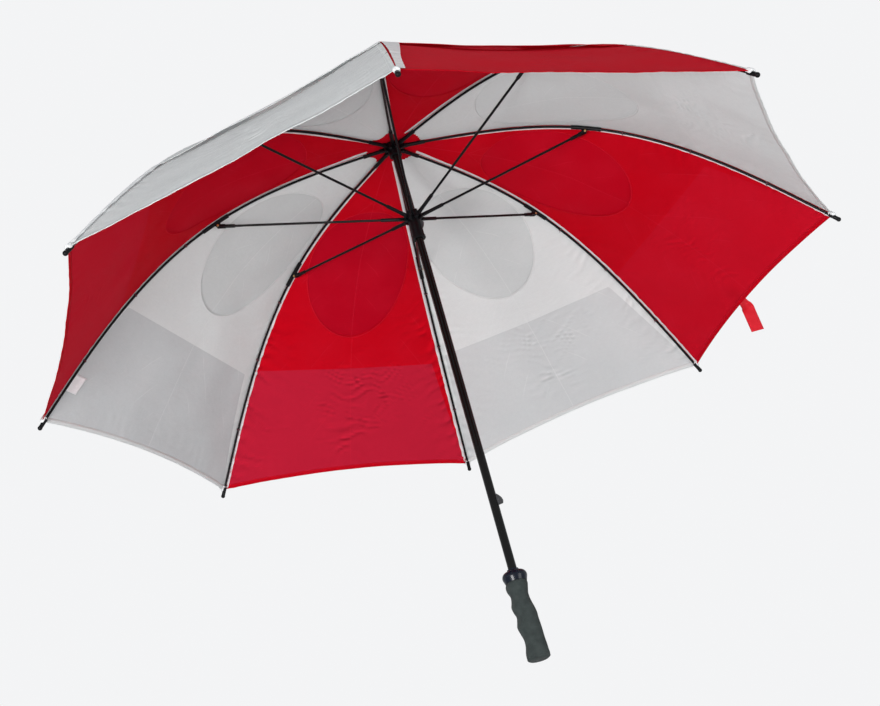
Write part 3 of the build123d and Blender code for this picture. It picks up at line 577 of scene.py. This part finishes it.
def foam_material():
    """Matt closed-cell foam: open pores at the skin, painted shade in their hollows, faint scuffs.
    """
    m = Nodes("grip_foam")
    where = m.place()
    cells = m.add("ShaderNodeTexVoronoi", {"Vector": where, "Scale": 1500.0})
    pores = m.ramp(cells.outputs["Distance"], 0.05, 0.5)
    blotch = m.noise(where, 75.0, 4.0, 0.6)
    scuff = m.noise(where, 420.0, 4.0, 0.7)
    tone = m.mix(m.ramp(blotch, 0.3, 0.75), rgb(0.028, 0.037, 0.036), rgb(0.048, 0.060, 0.058))
    tone = m.mix(m.math("MULTIPLY", m.ramp(scuff, 0.55, 0.8), 0.35), tone, rgb(0.10, 0.12, 0.115))
    # Painted shade: the pores' hollows are darkened.
    tone = m.mix(m.math("MULTIPLY", m.math("SUBTRACT", 1.0, pores), 0.5), tone,
                 rgb(0.018, 0.024, 0.023))
    normal = m.bump(pores, 0.25 * MM, 0.8)
    normal = m.bump(blotch, 0.8 * MM, 0.35, normal)
    shader = m.principled(Base_Color=tone, Roughness=0.86, Normal=normal, Sheen_Weight=0.05,
                          Specular_IOR_Level=0.25)
    return m.surface(shader)


FOAM = foam_material()


def ribbon_material(name, colour, pale):
    """Woven ribbon: ribs across it, a firm edge and a little fading."""
    m = Nodes(name)
    x, y, _ = m.split(m.attribute("cloth"))
    ribs = m.math("SINE", m.math("MULTIPLY", x, tau / (0.7 * MM)))
    threads = m.math("SINE", m.math("MULTIPLY", y, tau / (0.5 * MM)))
    weave = m.math("MULTIPLY", ribs, threads)
    fade = m.noise(m.join(x, y), 90.0, 4.0)
    tone = m.mix(m.math("MULTIPLY", m.ramp(fade, 0.35, 0.8), 0.4), colour, pale)
    tone = m.shade(tone, m.math("MULTIPLY_ADD", weave, 0.06, 0.95))
    normal = m.bump(weave, 0.12 * MM, 0.7)
    shader = m.principled(Base_Color=tone, Roughness=0.55, Normal=normal, Sheen_Weight=0.06,
                          Specular_IOR_Level=0.3)
    return m.surface(shader)


STRAP = ribbon_material("strap_ribbon", rgb(0.74, 0.004, 0.018), rgb(0.82, 0.02, 0.04))
LABEL = ribbon_material("label_ribbon", rgb(0.95, 0.92, 0.94), rgb(0.98, 0.97, 0.97))
SEAM = ribbon_material("seam_tape", rgb(0.84, 0.78, 0.80), rgb(0.92, 0.88, 0.89))
THREAD = ribbon_material("tie_thread", rgb(0.10, 0.02, 0.03), rgb(0.25, 0.10, 0.11))


# ---------------------------------------------------------------- gores
def around_hole(inner, count):
    """Shares s and v of a half ring of cloth between the vent hole and the gore's outline.
    Row 0 is the hole's edge and the last row is the outline. inner is the crown's side."""
    way = -1 if inner else 1
    reach = VENT_UP if inner else VENT_DOWN
    t = np.linspace(0, 1, count)
    angle = pi * t
    hole_s = JOINT_S + way * reach * np.sin(angle) / RIB_LENGTH
    hole_y = VENT_HALF * np.cos(angle)
    hole_v = hole_y / half_width(hole_s)
    side = 0.36 if inner else 0.30  # share of the outline's points on each side seam
    out_s, out_v = [], []
    for u in t:
        if u < side:
            edge_v, down = 1.0, u / side
        elif u > 1 - side:
            edge_v, down = -1.0, (1 - u) / side
        else:
            edge_v, down = 1 - 2 * (u - side) / (1 - 2 * side), 1.0
        end = FIRST_S if inner else hem_share(np.array(edge_v))
        out_s.append(JOINT_S + (float(end) - JOINT_S) * down)
        out_v.append(edge_v)
    return (hole_s, hole_v), (np.array(out_s), np.array(out_v))


def ring_grid(inner):
    """Shares s and v of the cloth from the vent hole to the outline, with the rows closer
    together beside the hole."""
    count, rows = (121, 40) if inner else (221, 66)
    (hole_s, hole_v), (out_s, out_v) = around_hole(inner, count)
    part = (np.linspace(0, 1, rows) ** 1.15)[:, None]
    return hole_s + (out_s - hole_s) * part, hole_v + (out_v - hole_v) * part


def gore_cloth(k):
    """Material and record slot of gore k's cloth."""
    return (RED, "red_cloth") if is_red(k) else (WHITE, "white_cloth")


def main_gore(k):
    """The main canopy's cloth, in two halves above the fold and one piece below it."""
    material, slot = gore_cloth(k)
    upper_s, upper_v = ring_grid(True)
    middle = upper_s.shape[1] // 2
    cuts = (
        ("inner", "gore_inner_left", upper_s[:, : middle + 1], upper_v[:, : middle + 1]),
        ("inner", "gore_inner_right", upper_s[:, middle:], upper_v[:, middle:]),
        ("outer", "gore_outer", *ring_grid(False)),
    )
    for part, name, s, v in cuts:
        obj = cloth_piece(f"{name}_{k}", s, v, grid_faces(*s.shape), k, 0, material)
        fold_with(obj, k, part, slot, f"canopy_{part}_{k}")


def vent_flap(k):
    """The second layer, from the crown to below the vent hole."""
    material, slot = gore_cloth(k)
    across = np.sin(np.linspace(-1, 1, 73) * pi / 2)
    for part in ("inner", "outer"):
        down = np.linspace(0, 1, 46)[:, None]
        first = FIRST_S if part == "inner" else JOINT_S
        last = JOINT_S + 0 * across if part == "inner" else flap_share(across)
        s = first + (last - first) * down
        v = across + 0 * s
        obj = cloth_piece(f"vent_flap_{part}_{k}", s, v, grid_faces(*s.shape), k, 1, material)
        fold_with(obj, k, part, slot)


def corner_band(k):
    """The white band that ties the flap's corner to the tip of rib k, over gore k's edge."""
    down = np.linspace(0, 1, 60)[:, None]
    first, last = VENT_S - 0.006, HEM_S + 0.002
    s = first + (last - first) * down
    width = (23 - 12 * smooth(down / 0.8)) * MM  # 23 mm at the flap, 11 mm near the tip
    inset = (0.6 + 2.0 * np.sin(pi * down)) * MM + width * np.linspace(0, 1, 9)
    v = -1 + inset / half_width(s)
    s = s + 0 * v
    obj = cloth_piece(f"corner_band_{k}", s, v, grid_faces(*s.shape), k, 1, BAND, -0.9 * MM)
    fold_with(obj, k, "outer", "white_cloth")


def tip_pocket(k):
    """The cloth pocket that the rib's tip is pushed into, on the rib's outer side."""
    start, middle, lift = 0.974, 0.985, 2.4 * MM
    radius, height = along(np.array(start), lift)
    a, tilt = rib_angle(k), float(slope(np.array(middle)))
    origin = (float(radius) * cos(a), float(radius) * sin(a), float(height))
    # Radius and height in millimetres, from the pocket's mouth to its closed end.
    profile = [(0.1, 0.0), (3.4, 0.1), (4.1, 1.8), (4.6, 5.0), (4.7, 8.0), (4.4, 10.2),
               (3.7, 11.2), (3.2, 11.3), (0.1, 10.8)]
    points, faces = lathe([(r * MM, z * MM) for r, z in profile])
    lumps = 1 + 0.05 * np.sin(3 * np.arctan2(points[:, 1], points[:, 0]))
    points = points * lumps[:, None]
    moved = placed(points, origin, (cos(a) * cos(tilt), sin(a) * cos(tilt), -sin(tilt)))
    obj = make_object(f"tip_pocket_{k}", moved, faces, BAND)
    round_it = np.arctan2(points[:, 1], points[:, 0]) * 5 * MM
    put_plain(obj, np.c_[points[:, 2], round_it, np.ones(len(points))])
    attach(obj, f"rib_outer_{k}")


def folded_edge(name, s, v, inward_s, inward_v, k, layer, width, thick, material):
    """A hem: a flat fold of cloth round an edge. The edge runs through s, v, and the hem
    reaches in from it along inward_s (in metres along the rib) and inward_v (across)."""
    # Section of the fold, as shares of its width (0 is the edge) and of its thickness.
    profile = [(-1.0, -0.5), (-0.5, -0.62), (-0.04, -0.58), (0.035, 0.0), (-0.04, 0.58),
               (-0.5, 0.62), (-1.0, 0.5)]
    rows = []
    for reach, height in profile:
        row_s = s - reach * width * inward_s / RIB_LENGTH
        row_v = v - reach * width * inward_v / half_width(s)
        rows.append(cloth_point(row_s, row_v, k, layer, -height * thick))
    ring, count = len(profile), len(s)
    points = np.stack(rows, 1).reshape(-1, 3)
    obj = make_object(name, points, tube_faces(count, ring), material)
    steps = np.hypot(np.diff(s) * RIB_LENGTH, np.diff(v * half_width(s)))
    run = np.repeat(np.r_[0, np.cumsum(steps)], ring)
    over = np.tile(np.linspace(0, width, ring), count)
    put_plain(obj, np.c_[run, over, np.ones(count * ring)])
    return obj


def hems(k):
    """The rim hem and the flap's hem, and the bound edge of the vent hole."""
    material, slot = gore_cloth(k)
    v = np.linspace(-0.995, 0.995, 97)
    one, none = np.ones_like(v), np.zeros_like(v)
    rim = folded_edge(f"rim_hem_{k}", hem_share(v), v, -one, none, k, 0, 8 * MM, 0.7 * MM,
                      material)
    fold_with(rim, k, "outer", slot)
    v = np.linspace(-0.985, 0.985, 97)
    edge = flap_share(v)
    flap = folded_edge(f"flap_hem_{k}", edge, v, -one, none, k, 1, 4 * MM, 0.7 * MM, material)
    fold_with(flap, k, "outer", slot)
    for part in ("inner", "outer"):
        (hole_s, hole_v), _ = around_hole(part == "inner", 73)
        away_s = (hole_s - JOINT_S) * RIB_LENGTH
        away_y = hole_v * half_width(hole_s)
        size = np.hypot(away_s, away_y)
        bound = folded_edge(f"vent_edge_{part}_{k}", hole_s, hole_v, away_s / size,
                            away_y / size, k, 0, 2.0 * MM, 0.14 * MM, material)
        fold_with(bound, k, part, slot)


# Lines along a seam tape: distance from the rib, and how far it stands off the cloth.
TAPE_SECTION = ((2.4 * MM, 0.45 * MM), (5.2 * MM, 0.75 * MM), (8.0 * MM, 0.5 * MM))


def seam_tapes(k):
    """The pale seam allowance beside each rib, on the red gores' inner face."""
    for part in ("inner", "outer"):
        first, last = (0.03, JOINT_S) if part == "inner" else (JOINT_S, HEM_S - 0.004)
        s = np.linspace(first, last, 90)
        points, cloth = [], []
        for side in (-1, 1):
            for inset, height in TAPE_SECTION:
                v = side * (1 - inset / half_width(s))
                points.append(cloth_point(s, v, k, 0, height))
                cloth.append(np.c_[s * RIB_LENGTH, np.full_like(s, inset), np.ones_like(s)])
        grid = np.stack(points, 0)
        lines = len(TAPE_SECTION)
        faces = grid_faces(lines, len(s)) + grid_faces(lines, len(s), first=lines * len(s))
        obj = make_object(f"seam_tape_{part}_{k}", grid.reshape(-1, 3), faces, SEAM)
        put_attribute(obj, "cloth", np.concatenate(cloth))
        fold_with(obj, k, part, "white_cloth")


for k in range(1, SECTORS + 1):
    main_gore(k)
    vent_flap(k)
    corner_band(k)
    tip_pocket(k)
    hems(k)
    if is_red(k):
        seam_tapes(k)


# ---------------------------------------------------------------- frame materials
def paint(prefix, material):
    """Gives a material to the CAD nodes whose names start with prefix."""
    for name, node in frame["nodes"].items():
        if name.startswith(prefix):
            node.data.materials.clear()
            node.data.materials.append(material)


for prefix, material in (
    ("rib_", ROD), ("stretcher_", ROD), ("crown", PLASTIC), ("runner", PLASTIC),
    ("ferrule", PLASTIC), ("shaft", LACQUER), ("handle_collar", COLLAR),
    ("top_catch", CATCH), ("bottom_catch", CATCH), ("stop_pin", STEEL),
    ("crown_wire", STEEL), ("runner_wire", STEEL), ("crown_pin", STEEL),
    ("top_catch_spring", STEEL), ("bottom_catch_spring", STEEL), ("shaft_plug", PLASTIC),
):
    paint(prefix, material)


# ---------------------------------------------------------------- rivets and thread ties
RIVET_OUT = 4.0 * MM  # outer face of the CAD rivet's heads from the rib's plane


def rivets(k):
    """The domed brass heads at both ends of the rivet through rib k's lug."""
    a = rib_angle(k)
    across = Vector((-sin(a), cos(a), 0))
    centre = Vector(PLACES[f"stretcher_{k}_hinge"])
    # Radius and height in millimetres, from the head's foot to its top.
    dome = [(2.05, -0.75), (2.1, -0.2), (1.9, 0.15), (1.4, 0.5), (0.7, 0.68), (0.05, 0.72)]
    profile = [(r * MM, z * MM) for r, z in dome]
    points, faces = lathe(profile)
    both, all_faces = [], []
    for side in (1, -1):
        moved = placed(points, centre + across * side * RIVET_OUT, across * side)
        all_faces += [tuple(i + len(both) * len(points) for i in f) for f in faces]
        both.append(moved)
    obj = make_object(f"rivet_{k}", np.concatenate(both), all_faces, BRASS)
    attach(obj, f"stretcher_{k}")


TIE_SHARES = (0.495, 0.65, 0.83)  # of the rib's length
TIE_TURNS = 3
TIE_PITCH = 0.75 * MM
TIE_LOOP = 2.75 * MM  # radius of the loops round the rib
THREAD_RADIUS = 0.42 * MM


def thread_tie(k, s, index):
    """Three turns of thread round the rib, with a knot on its lower side."""
    radius, height = along(np.array(s), 0.0)
    tilt = float(slope(np.array(s)))
    centre = np.array([float(radius), 0.0, float(height)])
    out = np.array([cos(tilt), 0, -sin(tilt)])
    up = np.array([sin(tilt), 0, cos(tilt)])
    side = np.array([0, 1.0, 0])
    path = []
    for t in np.linspace(0, TIE_TURNS, 24 * TIE_TURNS + 1):
        a = tau * t
        path.append(centre + out * (t - TIE_TURNS / 2) * TIE_PITCH
                    + (up * cos(a) + side * sin(a)) * TIE_LOOP + up * 0.25 * MM)
    # The thread's loose end hangs below the rib.
    path.append(centre - up * 3.3 * MM + side * 1.4 * MM + out * 1.2 * MM)
    path.append(centre - up * 4.6 * MM + side * 2.4 * MM + out * 1.9 * MM)
    path = turned(np.array(path), rib_angle(k))
    points, faces = tube(path, THREAD_RADIUS, 8)
    obj = make_object(f"thread_tie_{index}_{k}", points, faces, THREAD)
    put_attribute(obj, "cloth", points)
    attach(obj, f"rib_outer_{k}")


def tube(path, radius, sides):
    """A round tube along points, closed at both ends."""
    points = []
    normal = None
    for i, p in enumerate(path):
        ahead = path[min(i + 1, len(path) - 1)] - path[max(i - 1, 0)]
        ahead = Vector(ahead).normalized()
        if normal is None:
            normal = ahead.orthogonal().normalized()
        normal = (normal - ahead * normal.dot(ahead)).normalized()
        other = ahead.cross(normal)
        for t in range(sides):
            a = tau * t / sides
            points.append(Vector(p) + (normal * cos(a) + other * sin(a)) * radius)
    return np.array(points), tube_faces(len(path), sides)


for k in range(1, SECTORS + 1):
    rivets(k)
    for index, share in enumerate(TIE_SHARES):
        thread_tie(k, share, index + 1)


# ---------------------------------------------------------------- rosette
ROSETTE_R = 0.045
ROSETTE_HOLE = 8.2 * MM
TEETH = 6  # on one sector's edge
TOOTH = 1.0 * MM  # how far a tooth stands out from the middle of the edge


def rosette(k):
    """A sector of the round red cloth under the canopy, cut with pinking shears. It folds
    with the gore above it."""
    rows, columns = 22, 2 * TEETH + 1
    points, cloth = [], []
    for row, radius in enumerate(np.linspace(ROSETTE_HOLE, ROSETTE_R, rows)):
        for t in range(columns):
            a = rib_angle(k) + SECTOR * t / (columns - 1)
            r = radius * (1 + 0.05 * sin(2 * a + 0.9) * row / (rows - 1))
            if row >= rows - 2:
                r += (TOOTH if t % 2 else -TOOTH) * (row - rows + 3) / 2
            shelf = 1 - smooth((r - 16 * MM) / (10 * MM))
            # It falls as the ribs do, a little above them, and is raised over the crown.
            z = CROWN_Z + 3.6 * MM - (r - HUB_R) * 0.078 + 1.1 * MM * shelf
            flutter = sin(a * 8 + 0.6) * 0.25 * MM * smooth((r - 0.030) / 0.02)
            points.append((r * cos(a), r * sin(a), z + flutter))
            cloth.append((r * cos(a) + 0.5, r * sin(a) + 0.5, 1.0))
    obj = make_object(f"rosette_cloth_{k}", points, grid_faces(rows, columns), RED)
    put_plain(obj, cloth)
    fold_with(obj, k, "inner", "red_cloth", "rosette")


for k in range(1, SECTORS + 1):
    rosette(k)


# ---------------------------------------------------------------- grip
# Sections of the foam grip, in millimetres: height, half width along X and along Y, and how
# far its middle stands off the shaft's axis. The low X side has the finger hollows.
GRIP_SECTIONS = np.array((
    (0.0, 13.6, 13.6, 1.6), (1.4, 16.0, 15.9, 1.8), (5.0, 16.8, 16.5, 2.0),
    (12.0, 16.5, 16.4, 2.1), (21.0, 15.4, 15.9, 3.0), (32.0, 14.9, 15.6, 3.0),
    (43.0, 16.2, 15.5, 1.6), (51.0, 17.0, 15.3, 0.6), (59.0, 15.8, 15.0, 1.3),
    (66.0, 15.2, 14.8, 1.9), (74.0, 15.9, 14.8, 0.2), (81.0, 15.6, 14.7, -1.2),
    (88.0, 13.9, 14.5, -1.0), (96.0, 13.2, 14.6, -0.7), (106.0, 15.8, 15.6, -1.3),
    (113.0, 16.2, 16.0, -0.5), (116.0, 15.2, 15.2, 0.0),
)) * MM


def through(x, xs, ys):
    """A smooth curve through the points xs, ys."""
    i = np.clip(np.searchsorted(xs, x) - 1, 0, len(xs) - 2)
    bend = np.gradient(ys, xs)
    step = xs[i + 1] - xs[i]
    t = (x - xs[i]) / step
    low = ys[i] * (1 + 2 * t) * (1 - t) ** 2 + step * bend[i] * t * (1 - t) ** 2
    high = ys[i + 1] * t * t * (3 - 2 * t) + step * bend[i + 1] * t * t * (t - 1)
    return low + high


def grip():
    """The foam grip, with its hollows for the fingers and a softly uneven skin."""
    turns = 64
    rim, top = 5 * MM, GRIP_SECTIONS[-1, 0]  # closer rings round the rolled lower rim
    heights = np.r_[np.linspace(0, rim, 11)[:-1], np.linspace(rim, top, 112)]
    half_x, half_y, shift = (through(heights, GRIP_SECTIONS[:, 0], GRIP_SECTIONS[:, i])
                             for i in (1, 2, 3))
    a = np.linspace(0, tau, turns, endpoint=False)
    level = heights[:, None]
    uneven = 0.12 * MM * np.sin(3 * a + 90 * level) * np.sin(160 * level + a)
    x = shift[:, None] + (half_x[:, None] + uneven) * np.cos(a)
    y = (half_y[:, None] + uneven) * np.sin(a)
    points = np.stack([x, y, level + 0 * x], -1).reshape(-1, 3)
    obj = make_object("grip_foam", points, tube_faces(len(heights), turns), FOAM)
    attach(obj, "shaft_frame")
    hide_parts("grip")


grip()


# ---------------------------------------------------------------- strap and label
def ribbon(name, centres, sides, width, thick, material, columns=9):
    """A strip of ribbon, closed all round, that follows centres. sides are its directions
    across."""
    points, cloth = [], []
    across = np.linspace(-0.5, 0.5, columns)
    length = np.r_[0, np.cumsum(np.linalg.norm(np.diff(centres, axis=0), axis=1))]
    ahead = np.gradient(centres, axis=0)
    for i, centre in enumerate(centres):
        side = sides[i] / np.linalg.norm(sides[i])
        face = np.cross(ahead[i], side)
        face = face / np.linalg.norm(face)
        for sign in (1, -1):
            for u in across[::sign]:
                points.append(centre + side * u * width + face * sign * thick / 2)
                cloth.append((length[i], u * width, 1.0))
    obj = make_object(name, points, tube_faces(len(centres), 2 * columns), material)
    put_attribute(obj, "cloth", cloth)
    return obj


STRAP_GORE = 1
LABEL_GORE = 4


def tie_strap():
    """The closing strap: sewn on top of the hem, it turns over the edge and hangs down."""
    v = np.array(0.12)
    width, drop, lift = 22 * MM, 57.5 * MM, 1.2 * MM
    a = mid_angle(STRAP_GORE)
    across = np.array([-sin(a), cos(a), 0])
    out = np.array([cos(a), sin(a), 0])
    end = hem_share(v)
    sewn = [cloth_point(end - back, v, STRAP_GORE, 0, -lift)
            for back in (0.040, 0.028, 0.016, 0.005)]
    edge = cloth_point(end, v, STRAP_GORE, 0, -lift)
    hang = []
    for t in np.linspace(0, 1, 18):
        over = out * 0.004 * float(smooth(t / 0.15)) + out * 0.003 * t
        hang.append(edge + over - np.array([0, 0, 2.5 * MM + drop * t]))
    centres = np.array(sewn + hang)
    # It twists, in radians, over its first few centimetres below the hem.
    turn = 1.15 * smooth((np.arange(len(centres)) - len(sewn)) / 6)
    sides = np.array([across * cos(w) - out * sin(w) for w in turn])
    obj = ribbon("tie_strap_ribbon", centres, sides, width, 0.9 * MM, STRAP)
    fold_with(obj, STRAP_GORE, "outer", "red_cloth", "tie_strap")


def care_label():
    """A blank white label, sewn into the seam beside rib 5."""
    s = np.linspace(0.864, 0.906, 11)  # shares of the rib's length
    reach = 25 * MM
    insets = np.linspace(0.0015, reach, 15)
    points, cloth = [], []
    for inset in insets:
        v = 1 - inset / half_width(s)
        curl = 1.4 + 2.6 * smooth((inset - 0.006) / 0.02) + 0.5 * np.sin(inset * 260)
        points.append(cloth_point(s, v, LABEL_GORE, 0, curl * MM))
        cloth.append(np.c_[s * RIB_LENGTH, np.full_like(s, inset), np.ones_like(s)])
    grid = np.stack(points, 0)
    faces = grid_faces(len(insets), len(s))
    obj = make_object("care_label_ribbon", grid.reshape(-1, 3), faces, LABEL)
    put_attribute(obj, "cloth", np.concatenate(cloth))
    solid = obj.modifiers.new("thickness", "SOLIDIFY")
    solid.thickness = 0.3 * MM
    fold_with(obj, LABEL_GORE, "outer", "label_cloth", "care_label")


tie_strap()
care_label()


# ---------------------------------------------------------------- stage, light, camera
FLOOR_Z = -1.15
FLOOR_HALF = 14.0
WORLD_LOW = 0.98  # strength of the light from below
WORLD_HIGH = 0.30  # and from above


def stage():
    """A pale floor well below the umbrella, a little brighter as the camera sees it."""
    mesh = bpy.data.meshes.new("floor")
    corners = [(x * FLOOR_HALF, y * FLOOR_HALF, FLOOR_Z)
               for x, y in ((-1, -1), (1, -1), (1, 1), (-1, 1))]
    mesh.from_pydata(corners, [], [(0, 1, 2, 3)])
    floor = bpy.data.objects.new("floor", mesh)
    bpy.context.scene.collection.objects.link(floor)
    m = Nodes("floor_paper")
    grain = m.noise(m.place(), 3.0, 3.0)
    tone = m.mix(grain, rgb(0.80, 0.80, 0.80), rgb(0.86, 0.86, 0.86))
    seen = m.math("MULTIPLY", m.add("ShaderNodeLightPath").outputs["Is Camera Ray"], 0.40)
    mesh.materials.append(m.surface(m.principled(Base_Color=tone, Roughness=0.8,
                                                 Emission_Color=tone, Emission_Strength=seen)))


def area_light(name, place, target, size, power):
    """A round soft light that faces target."""
    light = bpy.data.lights.new(name, "AREA")
    light.shape = "DISK"
    light.size = size
    light.energy = power
    obj = bpy.data.objects.new(name, light)
    bpy.context.scene.collection.objects.link(obj)
    obj.location = place
    aim = Vector(target) - Vector(place)
    obj.rotation_euler = aim.to_track_quat("-Z", "Y").to_euler()


def world_light():
    """Pale studio air. It looks even, and it lights a little more from below than above."""
    world = bpy.data.worlds.new("studio")
    bpy.context.scene.world = world
    world.use_nodes = True
    nodes, links = world.node_tree.nodes, world.node_tree.links
    nodes.clear()
    direction = nodes.new("ShaderNodeTexCoord")
    parts = nodes.new("ShaderNodeSeparateXYZ")
    fade = nodes.new("ShaderNodeMapRange")
    fade.inputs["From Min"].default_value = -0.6
    fade.inputs["From Max"].default_value = 0.9
    fade.inputs["To Min"].default_value = WORLD_LOW
    fade.inputs["To Max"].default_value = WORLD_HIGH
    light, seen = nodes.new("ShaderNodeBackground"), nodes.new("ShaderNodeBackground")
    light.inputs["Color"].default_value = rgb(0.96, 0.98, 1.0)
    seen.inputs["Color"].default_value = rgb(0.90, 0.905, 0.915)
    rays, mix = nodes.new("ShaderNodeLightPath"), nodes.new("ShaderNodeMixShader")
    output = nodes.new("ShaderNodeOutputWorld")
    links.new(direction.outputs["Generated"], parts.inputs[0])
    links.new(parts.outputs["Z"], fade.inputs["Value"])
    links.new(fade.outputs["Result"], light.inputs["Strength"])
    links.new(rays.outputs["Is Camera Ray"], mix.inputs[0])
    links.new(light.outputs[0], mix.inputs[1])
    links.new(seen.outputs[0], mix.inputs[2])
    links.new(mix.outputs[0], output.inputs["Surface"])


stage()
bpy.context.scene.view_settings.view_transform = "Standard"
world_light()
area_light("key", (-1.2, -2.5, -0.7), (0, 0, 0.7), 1.0, 60)
area_light("fill", (1.9, -1.6, -0.5), (0, 0, 0.7), 1.2, 16)
area_light("top", (0.6, -0.6, 3.2), (0, 0, 0.8), 2.0, 9)

# The camera stands below the rim and looks up, and the umbrella leans in the picture.
CAMERA_PLACE = (-0.0877, -2.0086, CROWN_Z - 1.3576)
CAMERA_AZIMUTH = radians(-92.008)  # direction from the scene to the camera
CAMERA_ELEVATION = radians(-25.698)
CAMERA_ROLL = radians(-15.563)
CAMERA_LENS = 58.65

camera_data = bpy.data.cameras.new("camera")
camera_data.sensor_width = 36.0
camera_data.lens = CAMERA_LENS
camera = bpy.data.objects.new("camera", camera_data)
bpy.context.scene.collection.objects.link(camera)
back = Vector((cos(CAMERA_ELEVATION) * cos(CAMERA_AZIMUTH),
               cos(CAMERA_ELEVATION) * sin(CAMERA_AZIMUTH), sin(CAMERA_ELEVATION)))
level = Vector((0, 0, 1)).cross(back).normalized()
right = level * cos(CAMERA_ROLL) + back.cross(level) * sin(CAMERA_ROLL)
turn = Matrix((right, back.cross(right), back)).transposed().to_4x4()
turn.translation = Vector(CAMERA_PLACE)
camera.matrix_world = turn
bpy.context.scene.camera = camera
